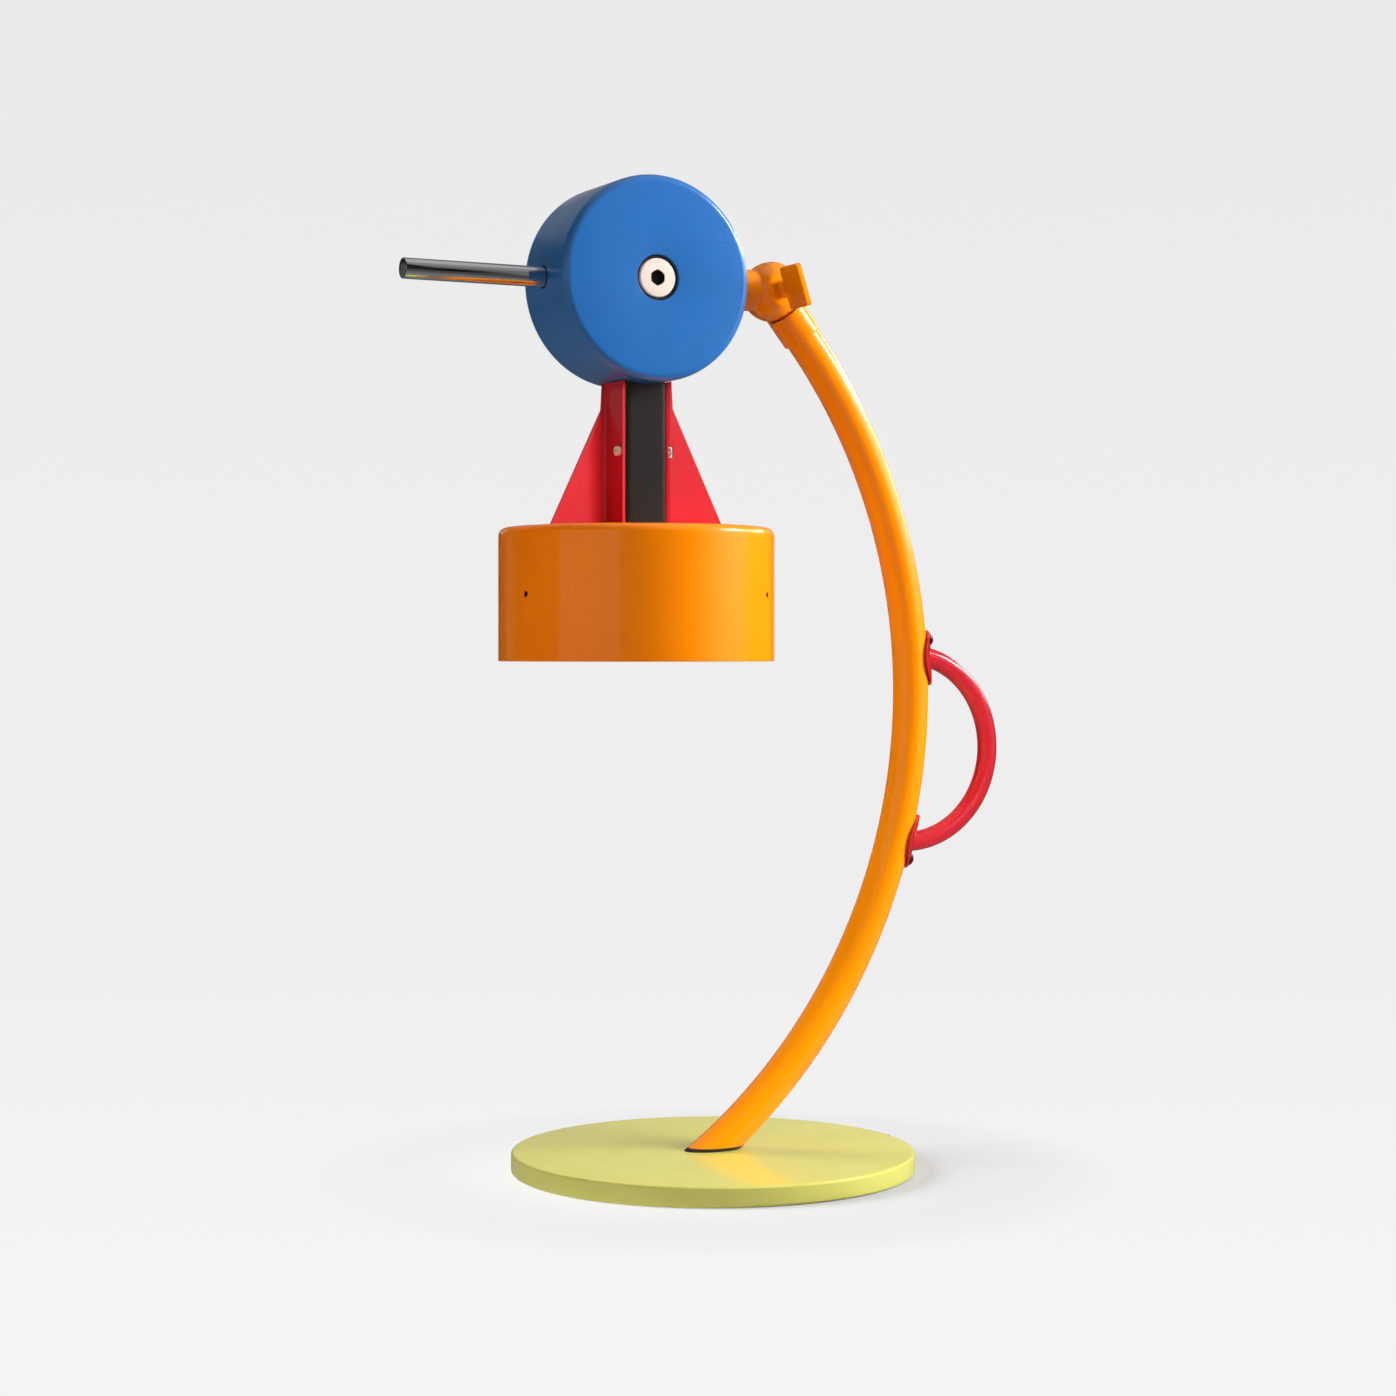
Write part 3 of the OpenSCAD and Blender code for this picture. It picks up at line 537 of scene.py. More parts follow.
@cache
def film_group() -> bpy.types.NodeTree:
    """Builds the group of a sprayed film once: tint, sheen, orange peel and a few dust nibs.

    Returns:
        The group's tree.
    """
    nibs_per_metre, nib_size, bare_share, nib_sheen, nib_rise = 140.0, 0.035, 0.8, 0.2, 0.5
    cloud_low, cloud_high, cloud_sheen = 0.35, 0.65, 0.12
    film = Marks("paint_film", {"Color": ("Colour", "Deep"), "Float": ("Cloud", "Peel", "Roughness", "Dust")})
    source = film.source
    cloud = film.noise(film.where, source["Cloud"], 3.0)
    peel = film.noise(film.where, source["Peel"], 1.5)
    cells = film.add("ShaderNodeTexVoronoi", {"Vector": film.where, "Scale": nibs_per_metre})
    dot = film.math("LESS_THAN", cells.outputs["Distance"], nib_size)
    chosen = film.add("ShaderNodeSeparateColor", {0: cells.outputs["Color"]}).outputs[0]
    nib = film.math("MULTIPLY", dot, film.math("GREATER_THAN", chosen, bare_share))
    dusty = film.math("MULTIPLY", nib, source["Dust"])
    tint = film.blend(film.ramp(cloud, cloud_low, cloud_high), source["Colour"], source["Deep"])
    swing = film.math("MULTIPLY", film.math("SUBTRACT", cloud, 0.5), cloud_sheen)
    sheen = film.math("ADD", source["Roughness"], swing)
    film.feed(film.sink, {
        "Colour": film.blend(dusty, tint, DUST),
        "Roughness": film.math("ADD", sheen, film.math("MULTIPLY", nib, nib_sheen), clamp=True),
        "Height": film.math("ADD", peel, film.math("MULTIPLY", dusty, nib_rise)),
    })
    return film.tree


@cache
def mill_group() -> bpy.types.NodeTree:
    """Builds the group of worked metal and moulded stuff once: tool lines, blotches and fine grain.

    Returns:
        The group's tree.
    """
    blotches_per_metre, blotch_low, blotch_high = 90.0, 0.42, 0.7
    mill = Marks("mill_marks", {
        "Color": ("Colour", "Stain"),
        "Vector": ("Stretch",),
        "Float": ("Grain", "Roughness", "Spread"),
    })
    source = mill.source
    drawn = mill.add("ShaderNodeVectorMath", {0: mill.where, 1: source["Stretch"]}, operation="MULTIPLY").outputs[0]
    lines = mill.noise(drawn, source["Grain"], 3.0)
    blotch = mill.noise(mill.where, blotches_per_metre, 4.0)
    swing = mill.math("MULTIPLY", mill.math("SUBTRACT", mill.math("ADD", lines, blotch), 1.0), source["Spread"])
    mill.feed(mill.sink, {
        "Colour": mill.blend(mill.ramp(blotch, blotch_low, blotch_high), source["Colour"], source["Stain"]),
        "Roughness": mill.math("ADD", source["Roughness"], swing, clamp=True),
        "Height": lines,
    })
    return mill.tree


def start_material(name: str) -> tuple[bpy.types.Material, Tree, Node]:
    """Makes a node material.

    Args:
        name: Name of the material.

    Returns:
        The material, its tree and its Principled shader.
    """
    material = bpy.data.materials.new(name)
    material.use_nodes = True
    return material, Tree(material.node_tree), material.node_tree.nodes["Principled BSDF"]


def marked_material(
    name: str,
    group: bpy.types.NodeTree,
    values: dict[str, object],
    relief: float,
    depth: float,
) -> tuple[bpy.types.Material, Tree, Node, Socket]:
    """Makes a material whose colour, roughness and relief come from a group.

    Args:
        name: Name of the material.
        group: The group.
        values: Value of each of its inputs.
        relief: Strength of the relief, or 0 for none.
        depth: Full height of the relief.

    Returns:
        The material, its tree, its Principled shader and the group's colour.
    """
    material, tree, skin = start_material(name)
    marks = tree.add("ShaderNodeGroup", values, node_tree=group).outputs
    tree.feed(skin, {"Base Color": marks["Colour"], "Roughness": marks["Roughness"]})
    if relief:
        bump = {"Strength": relief, "Distance": depth, "Height": marks["Height"]}
        tree.feed(skin, {"Normal": tree.add("ShaderNodeBump", bump).outputs[0]})
    return material, tree, skin, marks["Colour"]


@dataclass(frozen=True)
class Paint:
    """A sprayed paint."""

    slot: str  # material slot of the record
    colour: Triple  # screen colour of the film
    deep: Triple  # screen colour of its darker clouds
    gloss: Gloss = Gloss.FULL  # how matt the film is
    coat: float = 0.5  # weight of the clear layer
    peel: float = 0.02  # strength of the orange peel
    dust: float = 0.25  # how much the dust nibs show
    clouds: float = 22.0  # clouds in a metre
    pits: float = 1100.0  # pits of the orange peel in a metre
    depth: float = 0.5 * MM  # full height of the orange peel
    coat_roughness: float = 0.06  # roughness of the clear layer

    @cache
    def material(self) -> bpy.types.Material:
        """Makes the paint's material once.

        Returns:
            The material.
        """
        material, tree, skin, _ = marked_material(f"{self.slot}_look", film_group(), {
            "Colour": linear(self.colour),
            "Deep": linear(self.deep),
            "Cloud": self.clouds,
            "Peel": self.pits,
            "Roughness": self.gloss.value,
            "Dust": self.dust,
        }, self.peel, self.depth)
        tree.feed(skin, {"Coat Weight": self.coat, "Coat Roughness": self.coat_roughness})
        return material


@dataclass(frozen=True)
class Stuff:
    """A metal, rubber, felt, ceramic or glass."""

    slot: str  # material slot of the record
    colour: Triple  # screen colour
    stain: Triple  # screen colour of its blotches
    metallic: float = 0.0  # 1 for bare metal
    roughness: float = 0.5  # mean roughness
    spread: float = 0.2  # how far the roughness swings
    grain: float = 900.0  # marks in a metre
    stretch: Triple = (1.0, 1.0, 1.0)  # how the marks are drawn out along X, Y and Z
    relief: float = 0.1  # strength of the marks
    sheen: float = 0.0  # weight of fibre sheen
    depth: float = 0.3 * MM  # full height of the marks
    ior: float = 0.0  # refraction of clear glass
    look: str = ""  # name of the finish where its slot has more than one
    painted_shade_centre: Triple = (0.0, 0.0, 0.0)  # middle of a spot painted dark as the shade inside a socket
    painted_shade_reach: float = 0.0  # radius of that spot
    painted_shade_core: float = 0.94  # part of the radius that is all dark

    @cache
    def material(self) -> bpy.types.Material:
        """Makes the stuff's material once.

        Returns:
            The material.
        """
        material, tree, skin, tint = marked_material(f"{self.look or self.slot}_look", mill_group(), {
            "Colour": linear(self.colour),
            "Stain": linear(self.stain),
            "Stretch": self.stretch,
            "Grain": self.grain,
            "Roughness": self.roughness,
            "Spread": self.spread,
        }, self.relief, self.depth)
        tree.feed(skin, {"Metallic": self.metallic, "Sheen Weight": self.sheen})
        if self.ior:
            tree.feed(skin, {"Transmission Weight": 1.0, "IOR": self.ior})
        # The colour goes dark towards the middle of a spot: painted shade inside the bolt's socket.
        if self.painted_shade_reach:
            where = tree.add("ShaderNodeTexCoord").outputs["Object"]
            away = tree.add("ShaderNodeVectorMath", {0: where, 1: self.painted_shade_centre}, operation="DISTANCE").outputs["Value"]
            unshaded = tree.ramp(away, self.painted_shade_core * self.painted_shade_reach, self.painted_shade_reach)
            tree.feed(skin, {"Base Color": tree.blend(unshaded, SOCKET_SHADE, tint)})
        return material


EVEN = (1.0, 1.0, 1.0)
LIME = Paint("lime_paint", (203, 199, 100), (198, 194, 94), Gloss.SATIN, coat=0.35, dust=0.1)
ORANGE = Paint("orange_paint", (245, 141, 2), (243, 136, 1), Gloss.FULL, coat=0.2)
BLUE = Paint("blue_paint", (31, 102, 175), (28, 97, 169), Gloss.SATIN, coat=0.5, peel=0.05, dust=0.5)
RED = Paint("red_paint", (222, 39, 52), (216, 35, 48), Gloss.FULL, coat=0.2)
BLACK = Paint("black_paint", (28, 26, 26), (24, 23, 23), Gloss.LOW, coat=0.1, peel=0.06)
WHITE = Paint("white_paint", (240, 238, 232), (234, 232, 225), Gloss.LOW, coat=0.1)
CHROME = Stuff("chrome", (205, 206, 208), (196, 197, 200), 1.0, 0.07, 0.05, 700.0, (0.05, 1.0, 1.0), 0.02)
NICKEL = Stuff("nickel", (226, 218, 206), (214, 204, 190), 1.0, 0.34, 0.2, 1200.0, EVEN, 0.08)
BRIGHT_NICKEL = Stuff("nickel", (232, 226, 216), (218, 210, 198), 0.3, 0.34, 0.2, 1200.0, look="bright_nickel")
STEEL = Stuff("steel", (92, 84, 84), (70, 62, 62), 1.0, 0.36, 0.25, 1500.0)
# Dark steel whose red tint is a painted reflection of the red handle and orange stem.
STEEL_RED_REFLECTION = Stuff("steel", (92, 18, 28), (58, 12, 20), 0.6, 0.3, 0.2, 1500.0, look="dark_steel")
BRASS = Stuff("brass", (205, 170, 92), (178, 138, 66), 1.0, 0.3, 0.25, 1400.0, (1.0, 1.0, 0.2), 0.08)
RUBBER = Stuff("rubber", (34, 32, 32), (44, 42, 41), 0.0, 0.6, 0.2, 1600.0, EVEN, 0.15)
FELT = Stuff("felt", (38, 36, 37), (56, 53, 54), 0.0, 0.95, 0.05, 2600.0, EVEN, 0.9, 0.5)
FRICTION = Stuff("friction", (52, 44, 40), (70, 58, 50), 0.0, 0.8, 0.2, 2200.0, EVEN, 0.4)
WINDING = Stuff("winding", (176, 98, 50), (140, 70, 34), 0.0, 0.4, 0.2, 1000.0, (0.2, 1.0, 0.2), 0.6)
CERAMIC = Stuff("ceramic", (236, 232, 222), (226, 221, 208), 0.0, 0.25, 0.15, 500.0, EVEN, 0.04)
GLASS = Stuff("glass", (248, 250, 252), (236, 240, 244), 0.0, 0.02, 0.03, 300.0, (1.0, 1.0, 0.2), 0.0, ior=1.46)

HIDDEN = {
    STEEL: (
        "stem_foot", "base_washer", "clamp_plate", "clamp_nut", "arm_nut", "rod_nut",
        "post_top_plug", "post_foot_plug",
    ),
    BRASS: ("stem_nipple", "base_nut", "post_top_nipple", "post_top_nut", "post_nipple", "shade_nut"),
    FRICTION: ("friction_disc",),
    WINDING: ("transformer",),
    RUBBER: ("transformer_pads",),
}


def dress(piece: Piece, finish: Paint | Stuff, body: Body, *nodes: str, crease: float = 32.0) -> None:
    """Gives a piece its finish and body, and hides the CAD nodes that it stands for.

    Args:
        piece: The piece.
        finish: Its finish.
        body: The body that it rides on.
        nodes: The CAD nodes that it stands for.
        crease: Angle in degrees above which an edge stays sharp.
    """
    mesh = piece.data
    mesh.materials.clear()
    mesh.materials.append(finish.material())
    for face in mesh.polygons:
        face.use_smooth = True
        face.material_index = 0
    mesh.set_sharp_from_angle(angle=math.radians(crease))
    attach(piece, body.value)
    if nodes:
        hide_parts(*nodes)
    DRESSED.append(piece.name)
    LOG.info("%s: %d faces, %s, on %s", piece.name, len(mesh.polygons), finish.slot, body.value)


def set_screws(
    rings: Growth, screw: Piece, name: str, finish: Stuff, body: Body, node: str, values: dict[str, object]
) -> None:
    """Sets copies of a screw around a circle, and uses the screw up.

    Args:
        rings: Tree that sets screws around a circle.
        screw: The screw, which faces along its Z axis.
        name: Name of the piece.
        finish: Its finish.
        body: The body that it rides on.
        node: The CAD node that it stands for.
        values: Value of each input of the tree.
    """
    piece = rings.grow(name, {"Screw": screw, "Material": finish.material(), **values})
    bpy.data.meshes.remove(screw.data)
    dress(piece, finish, body, node)


def middle(node: str) -> Vector:
    """Gives the middle of a CAD node's box."""
    low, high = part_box(node)
    return (Vector(low) + Vector(high)) / 2


def extent(node: str) -> Vector:
    """Gives the size of a CAD node's box."""
    low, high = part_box(node)
    return Vector(high) - Vector(low)


# Sub-assemblies


@dataclass
class Base:
    """Round base with its felt and cord grommet."""

    edge: float = 1.5 * MM  # rounding of the rim
    felt_recess: float = 0.8 * MM  # how deep the felt is let in
    pocket: float = 12 * MM  # radius of the nut's pocket
    nipple: float = 5 * MM  # radius of the nipple
    cord: float = 2.5 * MM  # bore of the grommet
    channel_room: float = 0.3 * MM  # room on each side of the cord
    neck: float = 3.5 * MM  # radius of the grommet in the rim
    lip: float = 4.5 * MM  # radius of the grommet's lip
    lip_depth: float = 1.5 * MM  # thickness of the grommet's lip

    def build(self) -> None:
        """Builds the plate, the felt and the grommet."""
        self.side = aim(Vector((0, 0, middle("cord_grommet").z)), RIGHT)
        self.plate()
        self.felt()
        self.grommet()

    def plate(self) -> None:
        """Turns the plate and cuts its felt recess, nut pocket, cord channel and holes."""
        low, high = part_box("base_plate")
        radius = extent("base_plate").x / 2
        felt, recess = extent("base_felt").x / 2 + SLIP, low.z + self.felt_recess
        section = rounded([
            (0, high.z), (radius / 2, high.z), (radius, high.z, self.edge), (radius, low.z, self.edge),
            (felt, low.z, 0.2 * MM), (felt, recess), (0, recess),
        ], steps=8)
        piece = lathe("base_disc", section, segments=256)
        stem, grommet = middle("stem_nipple").x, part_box("cord_grommet")[0].x
        hole = Matrix.Translation((stem, 0, 0))
        half = self.cord + self.channel_room
        combine(
            piece,
            Join.CUT,
            rod("pocket_tool", self.pocket, 0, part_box("base_washer")[1].z, hole),
            rod("nipple_tool", self.nipple + SLIP, 0, high.z + MM, hole),
            prism("channel_tool", oblong(stem, grommet + MM, -half, half), 0, middle("cord_grommet").z + self.cord),
            rod("grommet_tool", self.neck + SLIP, grommet, radius + MM, self.side),
        )
        dress(piece, LIME, Body.STAND, "base_plate")

    def felt(self) -> None:
        """Turns the felt disc with a soft edge."""
        low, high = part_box("base_felt")
        radius = extent("base_felt").x / 2
        section = rounded([
            (0, high.z), (radius, high.z), (radius, low.z, 0.35 * MM), (radius / 2, low.z), (0, low.z),
        ], steps=4)
        dress(lathe("felt_disc", section, segments=192), FELT, Body.STAND, "base_felt")

    def grommet(self) -> None:
        """Turns the rubber grommet with its rolled lip."""
        low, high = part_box("cord_grommet")
        lip = high.x - self.lip_depth
        section = rounded([
            (self.cord, low.x, 0.2 * MM), (self.neck, low.x, 0.2 * MM), (self.neck, lip), (self.lip, lip, 0.3 * MM),
            (self.lip, high.x, 0.6 * MM), (self.cord, high.x, 0.5 * MM),
        ], closed=True, steps=5)
        dress(lathe("cord_grommet_ring", section, self.side, 64, closed=True), RUBBER, Body.STAND, "cord_grommet")


@dataclass
class Stem:
    """Bowed tube with its gasket, handle, saddle feet and domed screws."""

    radius: float = 9 * MM  # outer radius of the tube
    bend: float = 282 * MM  # radius of the bow's centre line
    foot_angle: float = 53.5  # angle of the bow at the base
    end_angle: float = 41.38  # angle of the bow inside the knuckle
    sides: int = 72  # points round the tube
    handle_bend: float = 48 * MM  # radius of the handle's centre line
    handle_radius: float = 5 * MM  # radius of the handle's tube
    handle_angle: float = -6.0  # angle of the handle's middle on the bow
    handle_half: float = 84.5  # half of the handle's sweep
    saddle_rise: float = 2 * MM  # thickness of a saddle
    saddle_length: float = 28 * MM  # length of a saddle along the bow
    saddle_wrap: float = 4 * MM  # from the tube's centre line to a saddle's edge, at its middle
    saddle_tip: float = 0.985  # part of its length at which a saddle's point is cut
    screw_offset: float = 9 * MM  # from a saddle's middle to its screw
    screw_radius: float = 3.75 * MM  # radius of a domed screw
    screw_rise: float = 3.2 * MM  # height of a domed screw

    def build(self, tubes: Growth, rings: Growth) -> None:
        """Builds the tube and all that it carries.

        Args:
            tubes: Tree that sweeps a tube along an arc.
            rings: Tree that sets screws around a circle.
        """
        low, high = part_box("stem_gasket")
        self.top_of_base, self.cut = low.z, high.z
        foot = math.radians(self.foot_angle)
        self.centre = Vector((-self.bend * math.cos(foot), 0, self.top_of_base + self.bend * math.sin(foot)))
        self.saddle_out = self.radius + self.saddle_rise
        out = self.bend + self.saddle_out
        share = (self.bend**2 + out**2 - self.handle_bend**2) / (2 * self.bend * out)
        self.saddle_sweep = math.degrees(math.acos(share))
        self.tube()
        self.gasket()
        self.handle(tubes)
        self.saddle(Side.UPPER, self.handle_angle + self.saddle_sweep)
        self.saddle(Side.LOWER, self.handle_angle - self.saddle_sweep)
        self.screws(rings)

    def on_tube(self, angle: float, wrap: float, radius: float) -> Vector:
        """Gives a point on or about the bowed tube.

        Args:
            angle: Angle along the bow, in degrees.
            wrap: Angle round the tube from its outer side, in radians.
            radius: Distance from the tube's centre line.

        Returns:
            The point.
        """
        reach = self.bend + radius * math.cos(wrap)
        turn = math.radians(angle)
        return self.centre + Vector((reach * math.cos(turn), radius * math.sin(wrap), reach * math.sin(turn)))

    def angle_at(self, height: float, wrap: float, radius: float) -> float:
        """Gives the angle at which a line along the tube passes a height near the base."""
        reach = self.bend + radius * math.cos(wrap)
        return math.degrees(math.asin((height - self.centre.z) / reach))

    def tube(self) -> None:
        """Sweeps the tube from its level cut on the gasket to its end in the knuckle."""
        rows = 160
        lines = [(wrap, self.angle_at(self.cut, wrap, self.radius)) for wrap in around(self.sides)]
        loops = [
            [self.on_tube(low + (self.end_angle - low) * row / rows, wrap, self.radius) for wrap, low in lines]
            for row in range(rows + 1)
        ]
        dress(sleeve("bowed_tube", loops), ORANGE, Body.STAND, "stem_tube")

    def gasket(self) -> None:
        """Fills the slit between the tube's level cut and the base."""
        loops = []
        for share, inset in ((0, 0.25 * MM), (0.12, 0), (0.88, 0), (1, 0.25 * MM)):
            height = self.top_of_base + (self.cut - self.top_of_base) * share
            radius = self.radius - inset
            loops.append([self.on_tube(self.angle_at(height, w, radius), w, radius) for w in around(self.sides)])
        dress(sleeve("foot_gasket", loops), RUBBER, Body.STAND, "stem_gasket")

    def handle(self, tubes: Growth) -> None:
        """Sweeps the handle's tube into its two saddles.

        Args:
            tubes: Tree that sweeps a tube along an arc.
        """
        piece = tubes.grow("handle_bow", {
            "Bend Radius": self.handle_bend,
            "Tube Radius": self.handle_radius,
            "Start": math.radians(self.handle_angle - self.handle_half),
            "Sweep": math.radians(2 * self.handle_half),
            "Centre": self.on_tube(self.handle_angle, 0, 0),
            "Material": RED.material(),
        })
        dress(piece, RED, Body.STAND, "handle_tube")

    def saddle(self, side: Side, angle: float) -> None:
        """Wraps a boat-shaped saddle with two points on the tube.

        Args:
            side: Upper or lower.
            angle: Where the saddle's middle is on the bow.
        """
        half_length, inner = self.saddle_length / 2, self.radius + SLIP
        rise = self.saddle_out - self.saddle_wrap
        arc = (half_length**2 + rise**2) / (2 * rise)
        rows, columns = 56, 32
        loops = []
        for row in range(rows + 1):
            along = half_length * self.saddle_tip * math.sin(math.pi * (row / rows - 0.5))
            floor = self.saddle_wrap + arc - math.sqrt(arc**2 - along**2)
            wrap = math.acos(min(1.0, floor / self.saddle_out))
            turn = angle + math.degrees(along / self.bend)
            edge = self.saddle_out * math.sin(wrap)
            loop = []
            for k in range(columns + 1):
                across = edge * (2 * k / columns - 1)
                out = max(floor, math.sqrt(max(0.0, inner**2 - across**2)))
                loop.append(self.on_tube(turn, math.atan2(across, out), math.hypot(across, out)))
            loop += [self.on_tube(turn, wrap * (1 - 2 * k / columns), self.saddle_out) for k in range(columns + 1)]
            loops.append(loop)
        piece = sleeve(f"handle_saddle_{side.value}", loops)
        cast(piece, 0.38 * MM, 5)
        dress(piece, RED, Body.STAND, f"handle_foot_{side.value}")

    def screws(self, rings: Growth) -> None:
        """Sets the domed screws on the outer tips of the saddles.

        Args:
            rings: Tree that sets screws around a circle.
        """
        shank, length, seat = 2 * MM, 6 * MM, 0.4 * MM
        sphere = (self.screw_radius**2 + self.screw_rise**2) / (2 * self.screw_rise)
        section = rounded([(0, -length), (shank, -length), (shank, -seat), (self.screw_radius - 0.1 * MM, -seat)])
        for k in range(13):
            turn = math.asin(self.screw_radius / sphere) * (1 - k / 12)
            section.append(Vector((sphere * math.sin(turn), self.screw_rise - sphere + sphere * math.cos(turn))))
        section[-1].x = 0
        screw = lathe("domed_screw_tool", section, segments=48)
        reach = self.saddle_sweep + math.degrees(self.screw_offset / self.bend)
        # The domes' dark red is a painted reflection of the red handle on dark steel.
        set_screws(rings, screw, "handle_domes", STEEL_RED_REFLECTION, Body.STAND, "handle_screws", {
            "Radius": self.bend + self.saddle_out,
            "First": math.radians(self.handle_angle - reach),
            "Step": math.radians(2 * reach),
            "Count": 2,
            "Centre": self.centre,
            "Tilt": math.pi / 2,
        })


@dataclass
class Knuckle:
    """Friction joint between stem and head, with its wing screw."""

    ball: float = 15 * MM  # radius of the ball
    width: float = 25 * MM  # distance between the ball's two flats
    arm: float = 10.25 * MM  # radius of both arms
    gap: float = 0.3 * MM  # slit between the two halves
    room: float = 1.2 * MM  # gap between the ball of one half and the arm of the other
    disc: float = 1 * MM  # thickness of the friction disc
    top_angle: float = 38.9  # slope of the stem at the knuckle
    arm_end: float = 28.3 * MM  # from the ball's centre to the stem arm's edge
    drum_end: float = 32 * MM  # from the ball's centre into the drum
    thread: float = 3 * MM  # radius of the wing screw's thread
    thread_end: float = 9.5 * MM  # depth of the thread in the rear half
    shoulder: float = 4.5 * MM  # radius of the wing screw's shoulder
    shoulder_rise: float = 6.4 * MM  # height of the shoulder
    wing_length: float = 21.5 * MM  # height of the wing
    wing_width: float = 17.5 * MM  # depth of the wing
    wing_thick: float = 3 * MM  # thickness of the wing
    wing_lean: float = 18.0  # lean of the wing in degrees
    grain: float = 0.36 * MM  # cell of the cast halves
    bore_room: float = 0.06 * MM  # room round the tube in its arm
    bore_sweep: float = 8.0  # angle of the bow over which the arm is bored

    def build(self, stem: Stem) -> None:
        """Builds both halves and the wing screw.

        Args:
            stem: The stem, whose tube goes into the rear half.
        """
        self.centre = middle("friction_disc")
        self.to_front = aim(self.centre, FRONT)
        self.stem_half(stem)
        self.head_half()
        self.wing()

    def ball_slice(self, name: str, radius: float, low: float, high: float) -> Piece:
        """Turns a slice of a ball about the wing screw's axis.

        Args:
            name: Name of the object.
            radius: Radius of the ball.
            low: Rear face, measured to the front.
            high: Front face, measured to the front.

        Returns:
            The slice.
        """
        steps = 40
        heights = [low + (high - low) * k / steps for k in range(steps + 1)]
        skin = [Vector((math.sqrt(max(0.0, radius**2 - height**2)), height)) for height in heights]
        return lathe(name, [Vector((0, low)), *skin, Vector((0, high))], self.to_front, 96)

    def stem_half(self, stem: Stem) -> None:
        """Casts the rear half with the arm that takes the tube.

        Args:
            stem: The stem, whose tube goes into the arm.
        """
        slope = math.radians(self.top_angle)
        place = aim(self.centre, Vector((math.sin(slope), 0, -math.cos(slope))))
        piece = self.ball_slice("knuckle_rear", self.ball, -self.width / 2, -self.disc / 2)
        edge = rounded([
            (0, self.ball / 2), (self.arm, self.ball / 2), (self.arm, self.arm_end, MM), (0, self.arm_end),
        ])
        combine(piece, Join.ADD, lathe("arm_tool", edge, place, 96))
        bore, rows = stem.radius + self.bore_room, 16
        angles = [stem.end_angle - self.bore_sweep * (1 - k / rows) for k in range(rows + 1)]
        loops = [[stem.on_tube(angle, wrap, bore) for wrap in around(48)] for angle in angles]
        reach = self.ball + self.room
        combine(
            piece,
            Join.CUT,
            self.ball_slice("front_room_tool", reach, -self.disc / 2, reach),
            sleeve("tube_tool", loops),
            rod("screw_tool", self.thread + SLIP, -self.thread_end - self.gap, 0, self.to_front),
        )
        cast(piece, self.grain)
        dress(piece, ORANGE, Body.STAND, "knuckle_stem_half")

    def head_half(self) -> None:
        """Casts the front half with the arm that ends on the drum."""
        face, reach = self.disc / 2 + self.gap, self.ball + self.room
        piece = self.ball_slice("knuckle_front", self.ball, face, self.width / 2)
        drum, drum_radius = aim(middle("drum_shell"), FRONT), extent("drum_shell").x / 2
        side = aim(self.centre, LEFT)
        combine(piece, Join.ADD, rod("arm_tool", self.arm, self.ball / 2, self.drum_end, side, 96))
        combine(
            piece,
            Join.CUT,
            self.ball_slice("rear_room_tool", reach, -reach, face),
            rod("drum_tool", drum_radius + SLIP, -60 * MM, 60 * MM, drum, 256),
            rod("screw_tool", self.thread + self.gap, 0, 16 * MM, self.to_front),
        )
        cast(piece, self.grain)
        dress(piece, ORANGE, Body.HEAD, "knuckle_head_half")

    def wing(self) -> None:
        """Casts the wing screw: thread, shoulder and flat wing."""
        seat = self.width / 2 + self.gap
        top = seat + self.shoulder_rise
        section = rounded([
            (0, -self.thread_end), (self.thread, -self.thread_end, 0.4 * MM), (self.thread, seat),
            (self.shoulder, seat, 0.4 * MM), (self.shoulder, top, 1.2 * MM), (0, top),
        ], steps=4)
        piece = lathe("wing_handle", section, self.to_front, 64)
        half, near = self.wing_length / 2, self.width / 2 + 4 * MM
        far = near + self.wing_width
        outline = rounded([
            (near, -half, 2.2 * MM), (far, -half, 2 * MM), (far, half, 2 * MM), (near, half, 2.2 * MM),
        ], closed=True)
        lean = Matrix.Rotation(math.radians(-self.wing_lean), 4, "Y")
        flat = Matrix(((0, 0, 1, 0), (-1, 0, 0, 0), (0, 1, 0, 0), (0, 0, 0, 1)))
        place = Matrix.Translation(self.centre) @ lean @ flat
        combine(piece, Join.ADD, prism("wing_tool", outline, -self.wing_thick / 2, self.wing_thick / 2, place))
        cast(piece, 0.26 * MM)
        dress(piece, ORANGE, Body.WING, "wing_screw")


